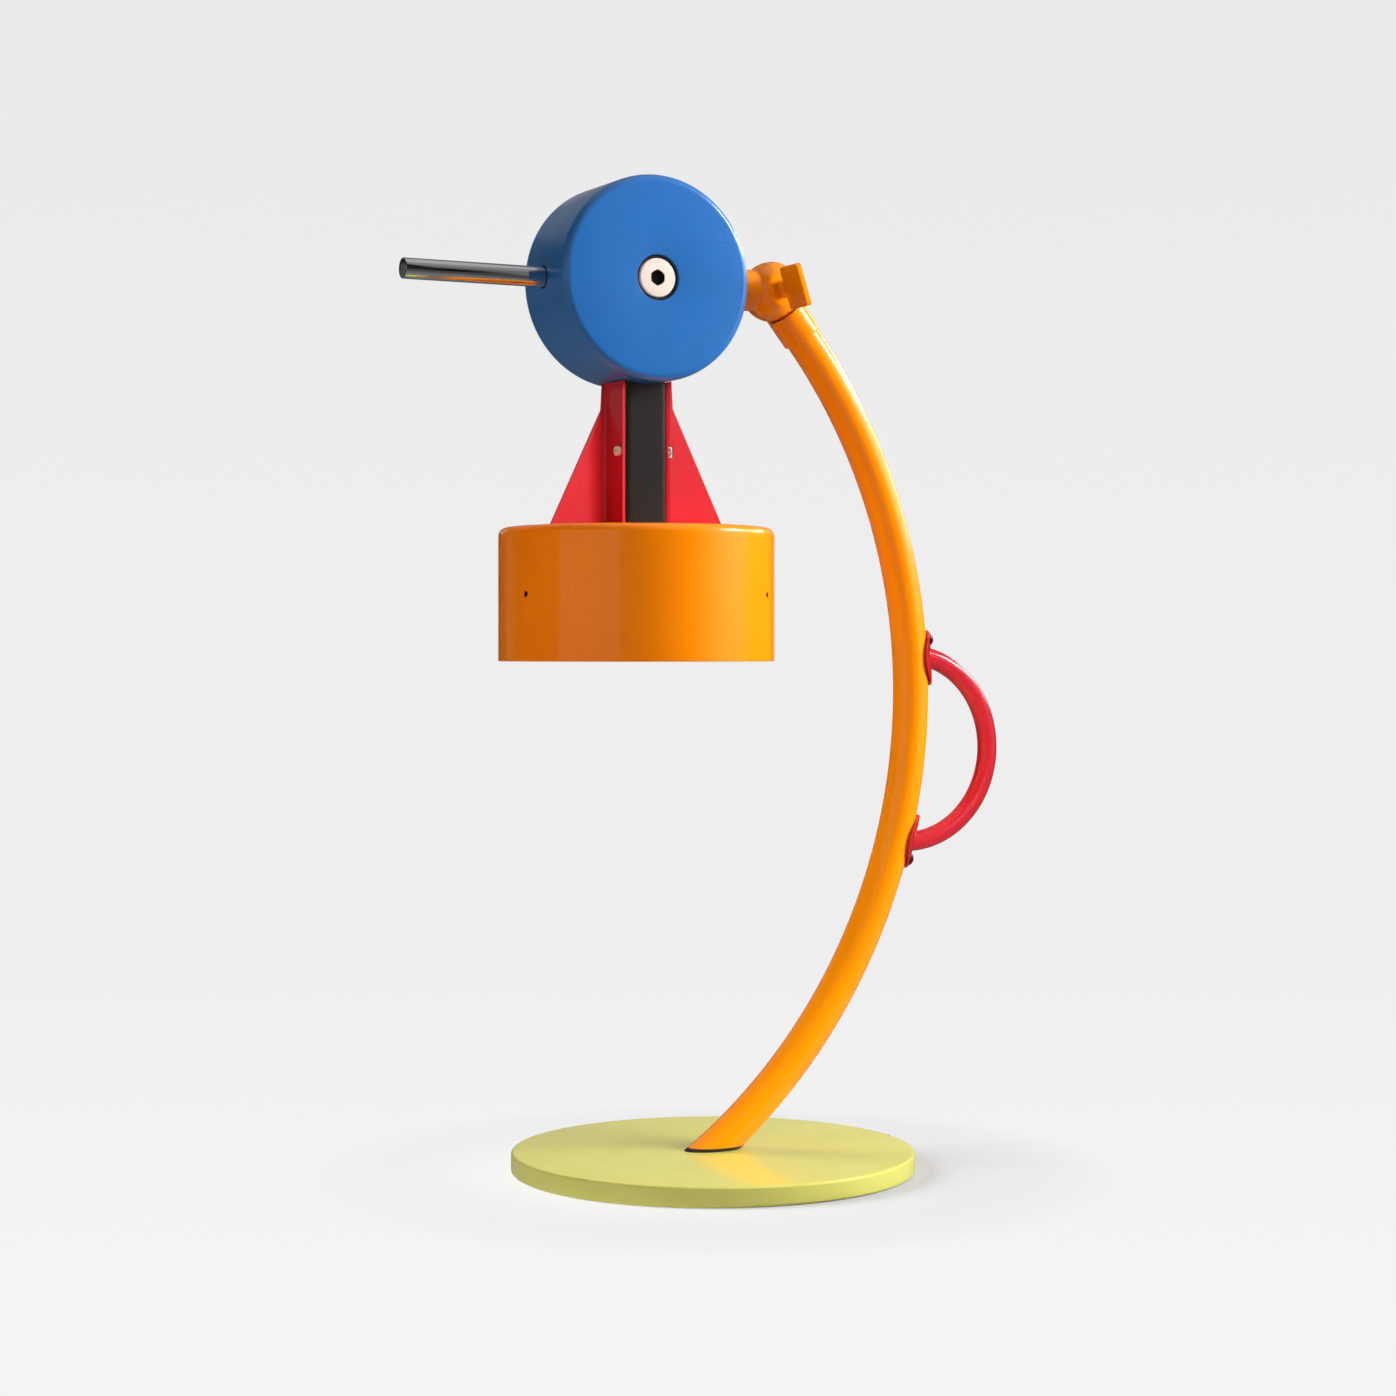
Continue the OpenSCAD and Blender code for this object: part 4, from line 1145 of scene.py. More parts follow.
@dataclass
class Drum:
    """Transformer drum with its lid, centre bolt and grip rod."""

    edge: float = 4 * MM  # rounding of both edges
    wall: float = 6 * MM  # thickness of the shell
    recess: float = 11.1 * MM  # radius of the bolt's recess
    recess_depth: float = 7.1 * MM  # depth of the bolt's recess
    bolt: float = 5 * MM  # radius of the bolt
    bolt_head: float = 5 * MM  # height of the bolt's head
    boss: float = 15.1 * MM  # radius of the boss behind the recess
    floor: float = 3.4 * MM  # thickness of the boss behind the recess
    lid_depth: float = 4 * MM  # depth of the lid's seat
    lid_thick: float = 3.5 * MM  # thickness of the lid
    lid_socket: float = 10 * MM  # radius of the lid's inner socket
    lid_floor: float = 1.7 * MM  # thickness of the lid under that socket
    hex: float = 7 * MM  # width of the bolt's socket across flats
    hex_depth: float = 3.2 * MM  # depth of the bolt's socket
    rim: float = 4 * MM  # height of the washer's rim
    rim_room: float = 0.3 * MM  # gap between the rim and the bolt's head
    rod_room: float = 5.5 * MM  # radius of the ring seat round the rod
    rod_seat: float = 2.5 * MM  # depth of that seat
    spigot: float = 3 * MM  # radius of the rod's spigot

    def build(self) -> None:
        """Builds the shell, the lid, the bolt, its washer and the rod."""
        self.centre = middle("drum_shell")
        self.radius, self.half = extent("drum_shell").x / 2, extent("drum_shell").y / 2
        self.axis = aim(Vector((self.centre.x, 0, self.centre.z)), FRONT)
        self.side = aim(self.centre, LEFT)
        self.bolt_hole = self.bolt + SLIP
        self.shell()
        self.lid()
        self.centre_bolt()
        self.washer()
        self.grip()

    def shell(self) -> None:
        """Turns the hollow shell and bores the rod's seat."""
        radius, half = self.radius, self.half
        inner, seat = radius - self.wall, extent("drum_lid").x / 2 + SLIP
        sunk, ledge, roof = half - self.recess_depth, self.lid_depth - half, half - self.wall
        section = rounded([
            (self.bolt_hole, sunk), (self.recess, sunk), (self.recess, half, 0.5 * MM), (radius * 0.6, half),
            (radius, half, self.edge), (radius, -half, self.edge), (seat, -half, 0.3 * MM), (seat, ledge),
            (inner, ledge), (inner, roof), (self.boss, roof), (self.boss, sunk - self.floor),
            (self.bolt_hole, sunk - self.floor),
        ], closed=True, steps=10)
        piece = lathe("drum_case", section, aim(self.centre, FRONT), 256, closed=True)
        combine(
            piece,
            Join.CUT,
            rod("rod_seat_tool", self.rod_room, radius - self.rod_seat, radius + MM, self.side),
            rod("rod_hole_tool", self.spigot + SLIP, inner - MM, radius, self.side),
        )
        dress(piece, BLUE, Body.HEAD, "drum_shell")

    def lid(self) -> None:
        """Turns the rear lid with a rounded edge and its inner socket."""
        low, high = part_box("drum_lid")
        radius = extent("drum_lid").x / 2
        out, inside = -high.y, -low.y
        step, sunk = out + self.lid_thick, out + self.lid_floor
        section = rounded([
            (0, out), (radius / 2, out), (radius, out, 0.5 * MM), (radius, step), (self.lid_socket, step),
            (self.lid_socket, inside), (self.bolt_hole, inside), (self.bolt_hole, sunk), (0, sunk),
        ], steps=5)
        dress(lathe("drum_back", section, self.axis, 192), BLUE, Body.HEAD, "drum_lid")

    def centre_bolt(self) -> None:
        """Turns the centre bolt and sinks its hexagon socket."""
        low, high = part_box("drum_bolt")
        head = extent("drum_bolt").x / 2
        top, foot = -low.y, -high.y
        neck = top - self.bolt_head
        section = rounded([
            (0, foot), (self.bolt, foot, 0.5 * MM), (self.bolt, neck), (head, neck, 0.2 * MM),
            (head, top, 0.7 * MM), (0, top),
        ], steps=5)
        piece = lathe("drum_bolt_turned", section, self.axis, 128)
        socket = prism("socket_tool", hexagon(self.hex), top - self.hex_depth, top + MM, self.axis)
        combine(piece, Join.CUT, socket)
        # The face goes dark round the socket's axis: painted shade inside the hexagon socket.
        finish = Stuff(
            NICKEL.slot,
            (222, 211, 201),
            (215, 203, 192),
            metallic=0.05,
            grain=1600.0,
            relief=0.05,
            look="bolt_face",
            painted_shade_centre=tuple(self.axis @ Vector((0, 0, top - 2 * MM))),
            painted_shade_reach=4.3 * MM,
        )
        dress(piece, finish, Body.HEAD, "drum_bolt", crease=28.0)

    def washer(self) -> None:
        """Turns the dark washer under the bolt's head, with its rim."""
        low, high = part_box("bolt_washer")
        radius, inner = extent("bolt_washer").x / 2, extent("drum_bolt").x / 2 + self.rim_room
        top, foot = -low.y, -high.y
        section = rounded([
            (self.bolt_hole, foot), (self.bolt_hole, top - self.rim), (inner, top - self.rim),
            (inner, top, 0.2 * MM), (radius, top, 0.2 * MM), (radius, foot, 0.2 * MM),
        ], closed=True, steps=3)
        dress(lathe("bolt_seat_ring", section, self.axis, 96, closed=True), RUBBER, Body.HEAD, "bolt_washer")

    def grip(self) -> None:
        """Turns the chrome rod with its eased tip and its spigot."""
        low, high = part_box("grip_rod")
        radius, shoulder = extent("grip_rod").z / 2, self.radius - self.rod_seat
        foot, tip = self.centre.x - high.x, self.centre.x - low.x
        section = rounded([
            (0, foot), (self.spigot, foot, 0.3 * MM), (self.spigot, shoulder), (radius, shoulder, 0.3 * MM),
            (radius, tip, 0.55 * MM), (0, tip),
        ], steps=5)
        dress(lathe("chrome_grip", section, self.side, 96), CHROME, Body.HEAD, "grip_rod")


@dataclass
class Post:
    """Square post between two folded brackets."""

    corner: float = 2 * MM  # rounding of the post's corners
    sheet: float = 1.5 * MM  # thickness of the bracket's sheet
    fold: float = 1.5 * MM  # inner radius of the bracket's fold
    width: float = 21 * MM  # width of a bracket across the post
    seat_room: float = 0.02 * MM  # room between bracket and post
    drum_room: float = 0.3 * MM  # room between bracket and drum
    fin_reach: float = 42.5 * MM  # reach of a fin at the shade
    neck_height: float = 58.5 * MM  # height at which a fin meets the neck
    neck_room: float = 0.5 * MM  # width of the neck beyond the fold
    screw_level: float = 37 * MM  # height of the bracket screws above the shade
    screw_front: float = 7 * MM  # distance of the bracket screws to the front
    shank: float = 1.5 * MM  # radius of a bracket screw's shank
    head_radius: float = 2.3 * MM  # radius of a bracket screw's head
    head_rise: float = 2.2 * MM  # height of a bracket screw's head
    slot: float = 0.64 * MM  # width of its cross slot
    slot_depth: float = 0.9 * MM  # depth of its cross slot

    def build(self, rings: Growth) -> None:
        """Builds the post, its brackets and their screws.

        Args:
            rings: Tree that sets screws around a circle.
        """
        self.foot = Vector((middle("post_tube").x, 0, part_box("post_tube")[0].z))
        self.half = extent("post_tube").x / 2
        self.drum_height, self.drum_radius = middle("drum_shell").z, extent("drum_shell").x / 2
        self.post()
        self.bracket(Side.LEFT)
        self.bracket(Side.RIGHT)
        self.screws(rings)

    def ceiling(self, offset: float, room: float) -> float:
        """Gives the height of the drum's underside at an offset from the post's axis."""
        reach = self.drum_radius + room
        return self.drum_height - math.sqrt(reach**2 - offset**2) - self.foot.z

    def post(self) -> None:
        """Raises the square post up to the drum."""
        half, grain = self.half, 2 * MM
        square = [(*corner, self.corner) for corner in ((half, half), (-half, half), (-half, -half), (half, -half))]
        outline = rounded(square, closed=True)
        fine: list[Vector] = []
        for point, after in zip(outline, outline[1:] + outline[:1]):
            parts = max(1, round((after - point).length / grain))
            fine += [point.lerp(after, n / parts) for n in range(parts)]
        low = [self.foot + Vector((*point, 0)) for point in fine]
        high = [self.foot + Vector((*point, self.ceiling(point.x, SLIP))) for point in fine]
        dress(sleeve("square_post", [low, high], split_top=True), BLACK, Body.HEAD, "post_tube")

    def bracket(self, side: Side) -> None:
        """Folds one bracket from sheet: a web on the post and a fin across the shade.

        Args:
            side: Left, or right, which is the same bracket turned half round.
        """
        turn = 1.0 if side is Side.LEFT else -1.0
        outer, far = self.half + self.sheet, self.width / 2
        bend, mid_bend = self.fold + self.sheet, self.fold + self.sheet / 2
        mid_web, mid_fin = (self.half + self.seat_room + outer) / 2, far - self.sheet / 2
        webs, folds, fins, rows = 16, 8, 40, 12
        path = [Vector((-mid_web, -far + (2 * far - bend) * k / webs)) for k in range(webs + 1)]
        centre = Vector((-mid_web - mid_bend, far - bend))
        path += [centre + polar(mid_bend, math.pi / 2 * k / folds) for k in range(1, folds + 1)]
        start = path[-1].x
        path += [Vector((start + (-self.fin_reach - start) * k / fins, mid_fin)) for k in range(1, fins + 1)]
        neck = outer + self.fold + self.neck_room
        shape = bmesh.new()
        grid = []
        for spot in path:
            offset = -spot.x
            if offset <= neck:
                top = self.ceiling(offset, self.drum_room)
            else:
                top = self.neck_height * (self.fin_reach - offset) / (self.fin_reach - neck)
            place = self.foot + Vector((spot.x * turn, spot.y * turn, 0))
            grid.append([shape.verts.new(place + Vector((0, 0, top * row / rows))) for row in range(rows + 1)])
        for first, second in zip(grid, grid[1:]):
            for row in range(rows):
                corners = (first[row], second[row], second[row + 1], first[row + 1])
                if len({tuple(round(c, 8) for c in v.co) for v in corners}) > 2:
                    shape.faces.new(corners)
        bmesh.ops.remove_doubles(shape, verts=shape.verts, dist=10 * MERGE)
        piece = solid(f"folded_bracket_{side.value}", shape)
        alter(piece, "SOLIDIFY", thickness=self.sheet - self.seat_room, offset=0, use_even_offset=True)
        if side is Side.RIGHT:
            self.window(piece, outer)
        sharp = math.radians(50)
        alter(piece, "BEVEL", width=0.22 * MM, segments=2, limit_method="ANGLE", angle_limit=sharp)
        dress(piece, RED, Body.HEAD, f"bracket_{side.value}", crease=40.0)

    def window(self, piece: Piece, outer: float) -> None:
        """Cuts the window through which the right bracket's screw is put in.

        Args:
            piece: The bracket.
            outer: Distance of the web's outer face from the post's axis.
        """
        room = self.head_radius + 0.3 * MM
        outline = oblong(outer, outer + 2.5 * MM, -self.width, room - self.screw_front)
        place = Matrix.Translation(self.foot)
        window = prism("window_tool", outline, self.screw_level - room, self.screw_level + room, place)
        combine(piece, Join.CUT, window)

    def screws(self, rings: Growth) -> None:
        """Sets a cross-slotted screw in the web of each bracket.

        Args:
            rings: Tree that sets screws around a circle.
        """
        length, rise, radius = 5.5 * MM, self.head_rise, self.head_radius
        section = rounded([
            (0, -length), (self.shank, -length), (self.shank, 0), (radius, 0, 0.15 * MM),
            (radius, rise, 0.4 * MM), (0, rise),
        ], steps=5)
        screw = lathe("pan_screw_tool", section, segments=48)
        slot = oblong(-1.5 * MM, 1.5 * MM, -self.slot / 2, self.slot / 2)
        for angle in (45, 135):
            place = Matrix.Rotation(math.radians(angle), 4, "Z")
            combine(screw, Join.CUT, prism("slot_tool", slot, rise - self.slot_depth, rise + MM, place))
        set_screws(rings, screw, "bracket_pan_screws", BRIGHT_NICKEL, Body.HEAD, "bracket_screws", {
            "Radius": self.half + self.sheet,
            "First": math.pi,
            "Step": math.pi,
            "Count": 2,
            "Centre": self.foot + Vector((0, -self.screw_front, self.screw_level)),
            "Tilt": 0.0,
        })


@dataclass
class Shade:
    """Cylinder shade with reflector, side screws, holder and halogen capsule."""

    wall: float = 1.5 * MM  # thickness of the shade
    edge: float = 4 * MM  # rounding of the top edge
    lip: float = 0.45 * MM  # rounding of the lip
    nipple: float = 5.05 * MM  # radius of the nipple's hole
    screw_turn: float = 193.3  # angle of the first side screw
    screw_count: int = 3  # side screws
    screw_radius: float = 1.5 * MM  # radius of a side screw
    screw_length: float = 5 * MM  # length of a side screw
    screw_sink: float = 0.25 * MM  # how deep a side screw is sunk
    dish_thick: float = 1 * MM  # thickness of the reflector
    dish_hole: float = 13.5 * MM  # radius of the reflector's hole
    dish_band: float = 8 * MM  # height of the reflector's band
    dish_rise: float = 20 * MM  # height of the reflector's dome
    socket: float = 4.25 * MM  # radius of the holder's socket
    socket_depth: float = 5.05 * MM  # depth of the holder's socket and of its thread

    def build(self, rings: Growth, coils: Growth) -> None:
        """Builds the shade and what it holds.

        Args:
            rings: Tree that sets screws around a circle.
            coils: Tree that winds a wire coil.
        """
        low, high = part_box("shade")
        self.axis = Vector((middle("shade").x, 0, 0))
        self.radius = extent("shade").x / 2
        self.low, self.high = low.z, high.z
        self.screw_centre = self.axis + Vector((0, 0, middle("shade_screws").z))
        self.place = Matrix.Translation(self.axis)
        self.cup()
        self.dish()
        self.screws(rings)
        self.holder()
        self.capsule(coils)

    def screw_tools(self) -> list[Piece]:
        """Makes the tools that bore the side screws' holes.

        Returns:
            One tool for each screw.
        """
        tools = []
        bore, low, high = self.screw_radius + SLIP, self.radius - 4 * MM, self.radius + MM
        for k, turn in enumerate(around(self.screw_count)):
            place = aim(self.screw_centre, polar(1.0, math.radians(self.screw_turn) + turn).to_3d())
            tools.append(rod(f"side_tool_{k}", bore, low, high, place, 32))
        return tools

    def cup(self) -> None:
        """Turns the cup with a rounded lip and bores the screw holes."""
        outer, inner, roof = self.radius, self.radius - self.wall, self.high - self.wall
        start, end, rows = self.high - 6 * MM, self.low + 3 * MM, 24
        corners = [(self.nipple, self.high), (outer / 2, self.high), (outer, self.high, self.edge)]
        corners += [(outer, start + (end - start) * k / rows) for k in range(rows + 1)]
        corners += [
            (outer, self.low, self.lip), (inner, self.low, self.lip), (inner, roof, self.edge - self.wall),
            (self.nipple, roof),
        ]
        piece = lathe("shade_cup", rounded(corners, closed=True, steps=10), self.place, 256, closed=True)
        combine(piece, Join.CUT, *self.screw_tools())
        dress(piece, ORANGE, Body.HEAD, "shade")

    def dish(self) -> None:
        """Turns the white reflector dish with its band."""
        foot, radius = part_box("reflector")[0].z, extent("reflector").x / 2
        inside = radius - self.dish_thick
        sphere = (radius**2 + self.dish_rise**2) / (2 * self.dish_rise)
        thin = sphere - self.dish_thick
        centre = foot + self.dish_band + self.dish_rise - sphere
        reaches = [radius + (self.dish_hole - radius) * k / 32 for k in range(33)]
        outer = [Vector((r, centre + math.sqrt(max(0.0, sphere**2 - r**2)))) for r in reaches]
        inner_reaches = [min(r, inside) for r in reaches]
        inner = [Vector((r, centre + math.sqrt(max(0.0, thin**2 - r**2)))) for r in inner_reaches]
        section = [Vector((inside, foot)), Vector((radius, foot)), *outer, *inner[::-1]]
        dress(lathe("reflector_dish", section, self.place, 192, closed=True), WHITE, Body.HEAD, "reflector")

    def screws(self, rings: Growth) -> None:
        """Sets the socket screws flush in the shade's side.

        Args:
            rings: Tree that sets screws around a circle.
        """
        length, radius = self.screw_length, self.screw_radius
        section = rounded([
            (0, -length), (radius, -length, 0.2 * MM), (radius, 0, self.screw_sink), (0, 0),
        ], steps=3)
        screw = lathe("side_screw_tool", section, segments=32)
        combine(screw, Join.CUT, prism("socket_tool", hexagon(1.5 * MM), -1.5 * MM, MM))
        set_screws(rings, screw, "shade_socket_screws", STEEL, Body.HEAD, "shade_screws", {
            "Radius": self.radius - self.screw_sink,
            "First": math.radians(self.screw_turn),
            "Step": math.tau / self.screw_count,
            "Count": self.screw_count,
            "Centre": self.screw_centre,
            "Tilt": 0.0,
        })

    def holder(self) -> None:
        """Turns the ceramic lamp holder with a groove round its middle."""
        low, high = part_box("lamp_holder")
        radius, foot = extent("lamp_holder").x / 2, low.z
        groove, ease = radius - 0.7 * MM, 0.3 * MM
        section = rounded([
            (0, foot + self.socket_depth), (self.socket, foot + self.socket_depth), (self.socket, foot, ease),
            (radius, foot, MM), (radius, foot + 6 * MM, ease), (groove, foot + 6.6 * MM, ease),
            (groove, foot + 8.4 * MM, ease), (radius, foot + 9 * MM, ease), (radius, high.z, MM),
            (self.nipple, high.z), (self.nipple, high.z - self.socket_depth), (0, high.z - self.socket_depth),
        ], steps=4)
        dress(lathe("ceramic_holder", section, self.place, 96), CERAMIC, Body.HEAD, "lamp_holder")

    def capsule(self, coils: Growth) -> None:
        """Blows the glass capsule and hangs its filament inside.

        Args:
            coils: Tree that winds a wire coil.
        """
        low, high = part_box("bulb")
        radius = extent("bulb").x / 2
        neck, seat, dome = 0.7 * radius, high.z - 5 * MM, low.z + radius
        section = rounded([
            (0, high.z), (neck, high.z, 0.3 * MM), (neck, seat, 0.8 * MM),
            (radius, seat - (radius - neck), 1.5 * MM), (radius, dome),
        ], steps=5)
        section += [Vector((0, dome)) + polar(radius, -math.pi / 2 * k / 14) for k in range(1, 15)]
        section[-1].x = 0
        dress(lathe("halogen_capsule", section, self.place, 64), GLASS, Body.HEAD, "bulb")
        coil = coils.grow("capsule_filament", {
            "Turns": 9.0,
            "Coil Radius": 1.1 * MM,
            "Height": 7 * MM,
            "Wire Radius": 0.14 * MM,
            "Foot": self.axis + Vector((0, 0, low.z + 9 * MM)),
            "Material": NICKEL.material(),
        })
        dress(coil, NICKEL, Body.HEAD)


@dataclass
class Studio:
    """Floor, lights, world and camera of the photograph."""

    side_angle: float = 26.9  # turn of the camera from the front, in degrees
    distance: float = 1.404  # distance of the camera
    height: float = 0.258  # height of the camera
    slide: float = 7.42 * MM  # sideways shift of the camera
    focal: float = 2830.0  # focal length in pixels of the photograph
    horizon: float = 650.0  # row of the horizon in the photograph
    frame_size: float = 1396.0  # side of the photograph in pixels
    sensor: float = 36.0  # width of the camera's sensor in millimetres
    lamp_middle: float = 0.28  # height that the lights point at
    pale: float = 0.855  # level of the background
    pale_drop: float = 0.03  # how much darker the background is higher up
    pale_rise: float = 0.22  # sine of the slope at which it is darkest
    room: float = 0.03  # level of the room on the lamp
    contact: float = 0.115  # distance up to which the floor keeps most of the shadow
    shadow_end: float = 0.2  # distance at which the shadow has faded
    glow_share: float = 0.66  # part of the floor's level that is plain glow under the lamp
    mirror_near: float = 0.3  # part of the floor's level that shows in reflections by the lamp
    mirror_far: float = 0.1  # the same further off
    card_steps: int = 24  # faces of a card
    card_bright: float = 5.0  # level above which a card leaves out the base

    def build(self) -> None:
        """Builds the whole studio."""
        turn = math.radians(self.side_angle)
        self.ahead = Vector((math.sin(turn), math.cos(turn), 0))
        self.right = Vector((math.cos(turn), -math.sin(turn), 0))
        self.target = Vector((0, 0, self.lamp_middle))
        self.camera()
        self.world()
        self.floor()
        self.lights()
        self.cards()
        bpy.context.scene.view_settings.view_transform = "Standard"

    def camera(self) -> None:
        """Sets the level camera where the photograph was taken."""
        data = bpy.data.cameras.new("photo_camera")
        data.sensor_fit = "HORIZONTAL"
        data.sensor_width = self.sensor
        data.lens = self.focal / self.frame_size * self.sensor
        data.shift_y = (self.horizon - self.frame_size / 2) / self.frame_size
        camera = bpy.data.objects.new("photo_camera", data)
        camera.location = -self.distance * self.ahead - self.slide * self.right + Vector((0, 0, self.height))
        camera.rotation_euler = (math.pi / 2, 0, -math.radians(self.side_angle))
        bpy.context.scene.collection.objects.link(camera)
        bpy.context.scene.camera = camera

    def rays(self, tree: Tree) -> tuple[Socket, Socket]:
        """Tells the rays that see the pale room, and the mirror rays among them.

        Args:
            tree: The tree to add the nodes to.

        Returns:
            1 for camera, mirror and glass rays, and 1 for mirror rays.
        """
        path = tree.add("ShaderNodeLightPath").outputs
        seen = tree.math("ADD", path["Is Camera Ray"], path["Is Transmission Ray"], clamp=True)
        return tree.math("ADD", seen, path["Is Glossy Ray"], clamp=True), path["Is Glossy Ray"]

    def world(self) -> None:
        """Shows a pale backdrop in a dim room."""
        world = bpy.data.worlds.new("studio_room")
        bpy.context.scene.world = world
        world.use_nodes = True
        world.node_tree.nodes.clear()
        tree = Tree(world.node_tree)
        room = tree.add("ShaderNodeBackground", {"Color": PLAIN, "Strength": self.room})
        toward = tree.add("ShaderNodeTexCoord").outputs["Generated"]
        rise = tree.add("ShaderNodeSeparateXYZ", {0: toward}).outputs["Z"]
        level = tree.ramp(rise, 0.0, self.pale_rise, self.pale, self.pale - self.pale_drop)
        backdrop = tree.add("ShaderNodeBackground", {"Color": PLAIN, "Strength": level})
        whole = tree.mix(self.rays(tree)[0], room, backdrop)
        tree.add("ShaderNodeOutputWorld", {"Surface": whole.outputs[0]})

    def floor(self) -> None:
        """Lays a pale floor that keeps the lamp's soft shadow, and is clear from below."""
        shape = bmesh.new()
        bmesh.ops.create_grid(shape, x_segments=1, y_segments=1, size=6.0)
        piece = solid("studio_floor", shape)
        material, tree, skin = start_material("pale_floor")
        gain_start, gain_end, gain_top, fade_start, fade_end = -1.0, 0.4, 0.05, 0.7, 2.5
        tone_near, tone_far, mirror_start, mirror_end = 0.9, 0.5, 0.2, 0.9
        where = tree.add("ShaderNodeTexCoord").outputs["Object"]
        toward = {0: where, 1: tuple(-self.ahead)}
        near = tree.add("ShaderNodeVectorMath", toward, operation="DOT_PRODUCT").outputs["Value"]
        away = tree.add("ShaderNodeVectorMath", {0: where}, operation="LENGTH").outputs["Value"]
        gain = tree.ramp(near, gain_start, gain_end, 0.0, gain_top)
        fade = tree.ramp(away, fade_start, fade_end, 1.0, 0.0)
        shine = tree.math("ADD", tree.math("MULTIPLY", gain, fade), self.pale)
        share = tree.ramp(away, self.contact, self.shadow_end, self.glow_share, 1.0)
        tone = tree.ramp(share, self.glow_share, 1.0, tone_near, tone_far)
        tree.feed(skin, {"Base Color": tone, "Roughness": 0.9, "Specular IOR Level": 0.1})
        seen, mirror = self.rays(tree)
        part = tree.ramp(away, mirror_start, mirror_end, self.mirror_near - 1.0, self.mirror_far - 1.0)
        dim = tree.math("ADD", tree.math("MULTIPLY", mirror, part), 1.0)
        glow = tree.add("ShaderNodeEmission", {"Color": PLAIN, "Strength": tree.math("MULTIPLY", shine, dim)})
        level = tree.math("MAXIMUM", tree.math("MULTIPLY", share, seen), mirror)
        below = tree.add("ShaderNodeNewGeometry").outputs["Backfacing"]
        whole = tree.mix(below, tree.mix(level, skin, glow), tree.add("ShaderNodeBsdfTransparent"))
        tree.feed(tree.tree.nodes["Material Output"], {"Surface": whole.outputs[0]})
        piece.data.materials.append(material)

    def toward(self, angle: float, rise: float, reach: float) -> Vector:
        """Gives a place in the room as the lamp sees it.

        Args:
            angle: Degrees to the right of the camera.
            rise: Degrees above the lamp's middle.
            reach: Distance in metres.

        Returns:
            The place.
        """
        turn, lift = math.radians(angle), math.radians(rise)
        level = self.right * math.sin(turn) - self.ahead * math.cos(turn)
        return self.target + reach * (level * math.cos(lift) + Vector((0, 0, math.sin(lift))))

    def receivers(self, name: str, link: Link, *pieces: str) -> bpy.types.Collection:
        """Lists the pieces that a light meets or leaves out.

        Args:
            name: Name of the list.
            link: Whether it meets only these, or all but these.
            pieces: The pieces.

        Returns:
            The list.
        """
        group = bpy.data.collections.new(name)
        for piece in pieces:
            group.objects.link(bpy.data.objects[piece])
        for entry in group.collection_objects:
            entry.light_linking.link_state = link.value
        return group

    def lights(self) -> None:
        """Hangs soft lights: keys on the right, warm fills on the left, and some for single pieces."""
        plain, warm, straw, leaf = PLAIN[:3], (1.0, 0.45, 0.2), (1.0, 0.9, 0.75), (0.55, 1.0, 0.15)
        reds = (
            "folded_bracket_left", "folded_bracket_right",
            "handle_bow", "handle_saddle_upper", "handle_saddle_lower",
        )
        lamp = self.receivers("lit_lamp", Link.ALL_BUT, "studio_floor")
        sides = self.receivers("lit_sides", Link.ALL_BUT, "studio_floor", *reds)
        warmed = self.receivers("lit_warm", Link.ALL_BUT, "studio_floor", "base_disc", *reds)
        floor = self.receivers("lit_floor", Link.ONLY, "studio_floor")
        base = self.receivers("lit_base", Link.ONLY, "base_disc")
        stem = self.receivers("lit_stem", Link.ONLY, "bowed_tube")
        red = self.receivers("lit_reds", Link.ONLY, *reds)
        # Name, place by angle, rise and reach, size, power, colour and what it meets.
        for name, place, size, power, tint, lit in (
            ("key_low", (90, 20, 1.25), 0.6, 33.0, plain, sides),
            ("key_high", (90, 45, 1.9), 0.9, 9.0, plain, lamp),
            ("front_right", (28, 45, 1.9), 0.9, 7.0, plain, lamp),
            ("back_left", (-150, 38, 1.9), 0.9, 26.0, straw, lamp),
            ("front_warm", (-10, 15, 1.9), 0.9, 9.0, warm, warmed),
            ("left_warm", (-75, 15, 1.9), 0.9, 5.5, warm, warmed),
            ("base_fill", (-60, 14, 1.9), 0.9, 15.0, plain, base),
            ("stem_low", (-20, -60, 0.26), 0.12, 0.3, leaf, stem),
            ("red_light", (38, 15, 1.9), 0.9, 27.0, plain, red),
            ("floor_light", (-80, 24, 2.4), 1.6, 130.0, plain, floor),
        ):
            data = bpy.data.lights.new(name, "AREA")
            data.shape, data.size, data.energy, data.color = "SQUARE", size, power, tint
            light = bpy.data.objects.new(name, data)
            light.location = self.toward(*place)
            light.rotation_euler = (self.target - light.location).to_track_quat("-Z", "Y").to_euler()
            light.visible_glossy = False
            light.light_linking.receiver_collection = lit
            bpy.context.scene.collection.objects.link(light)

    def cards(self) -> None:
        """Stands a dark curtain, a ceiling and pale cards around the lamp, seen in reflections alone."""
        upper = self.receivers("lit_upper", Link.ALL_BUT, "base_disc")
        material = bpy.data.materials.new("card_glow")
        material.use_nodes = True
        material.node_tree.nodes.clear()
        tree = Tree(material.node_tree)
        level = tree.add("ShaderNodeAttribute", attribute_name="strength").outputs["Fac"]
        glow = tree.add("ShaderNodeEmission", {"Color": PLAIN, "Strength": level})
        tree.add("ShaderNodeOutputMaterial", {"Surface": glow.outputs[0]})
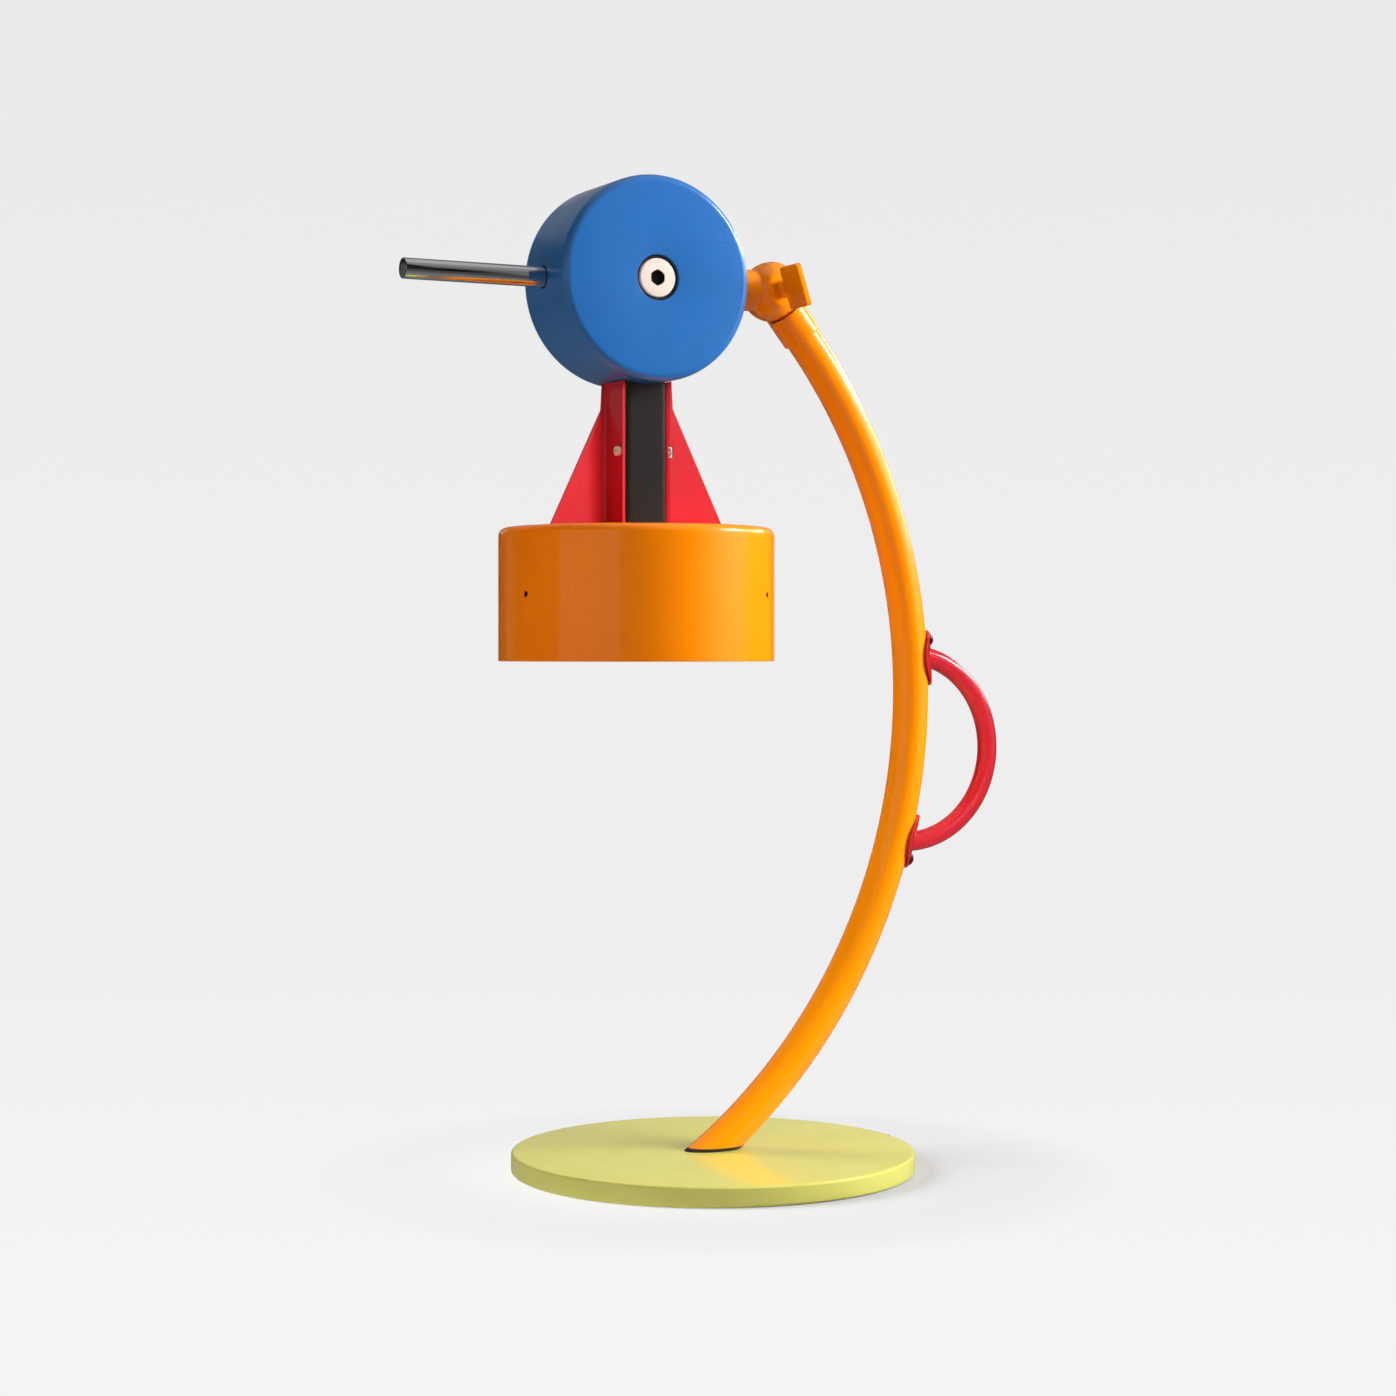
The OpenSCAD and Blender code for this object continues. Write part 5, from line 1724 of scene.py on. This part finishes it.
        # Name, first and last angle, reach and height of the lower and upper edge, level and soft sides.
        for name, first, last, low, high, strength, soft in (
            ("curtain", -180, 180, (3.0, -0.1), (3.0, 2.6), 0.02, False),
            ("ceiling", -180, 180, (3.0, 2.6), (1.2, 2.6), 0.05, False),
            ("overhead", -180, 180, (1.2, 2.6), (0.01, 2.6), 0.6, False),
            ("back", 165, 195, (2.9, -0.1), (2.9, 2.6), 0.3, False),
            ("back_left", -165, -135, (2.9, 0.55), (2.9, 1.3), 0.42, True),
            ("left", -64, -12.5, (2.4, 0.0), (2.4, 1.2), 0.36, False),
            ("right_low", 40, 118, (2.9, -0.1), (2.9, 0.55), 0.5, True),
            ("right_mid", 42, 116, (2.9, 0.55), (2.9, 1.3), 0.9, True),
            ("right_high", 76, 116, (2.9, 1.4), (2.9, 2.4), 20.0, True),
            ("sky_back", 110, 250, (2.9, 1.6), (1.2, 2.59), 0.2, False),
            ("right_top", 40, 76, (2.9, 1.3), (2.9, 2.6), 0.2, False),
            ("sky_right", 40, 110, (2.9, 2.59), (1.2, 2.59), 0.35, False),
            ("left_end", -134, -118, (2.9, 0.1), (2.9, 0.9), 0.1, False),
            ("right_line", 100, 150, (2.9, 0.75), (2.9, 1.6), 10.0, False),
            ("right_rear", 105, 165, (2.9, 0.55), (2.9, 1.3), 0.25, False),
            ("high_rear", 120, 150, (2.9, 1.3), (2.9, 2.6), 0.7, False),
        ):
            shape = bmesh.new()
            layer = shape.verts.layers.float.new("strength")
            rows = []
            for away, height in (low, high):
                row = []
                for k in range(self.card_steps + 1):
                    share = k / self.card_steps
                    spot = self.toward(first + (last - first) * share, 0, away)
                    corner = shape.verts.new((spot.x, spot.y, height))
                    corner[layer] = strength * (math.sin(math.pi * share) ** 2 if soft else 1.0)
                    row.append(corner)
                rows.append(row)
            under, over = rows
            for k in range(self.card_steps):
                shape.faces.new((under[k], under[k + 1], over[k + 1], over[k]))
            piece = solid(f"card_{name}", shape)
            piece.data.materials.append(material)
            for kind in ("camera", "diffuse", "transmission", "volume_scatter", "shadow"):
                setattr(piece, f"visible_{kind}", False)
            if strength > self.card_bright:
                piece.light_linking.receiver_collection = upper


def finish_hidden() -> None:
    """Gives each CAD node that stays in view of no camera a real finish too."""
    for finish, nodes in HIDDEN.items():
        for node in nodes:
            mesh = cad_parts[node].data
            for k in range(len(mesh.materials)):
                mesh.materials[k] = finish.material()
            if not mesh.materials:
                mesh.materials.append(finish.material())


def main() -> None:
    """Builds the lamp and then the studio round it."""
    logging.basicConfig(level=logging.INFO, format="%(name)s: %(message)s")
    tubes, rings, coils = tube_growth(), ring_growth(), coil_growth()
    stem = Stem()
    Base().build()
    stem.build(tubes, rings)
    Knuckle().build(stem)
    Drum().build()
    Post().build(rings)
    Shade().build(rings, coils)
    Studio().build()
    finish_hidden()
    LOG.info("%d pieces dressed", len(DRESSED))


if __name__ == "__main__":
    main()
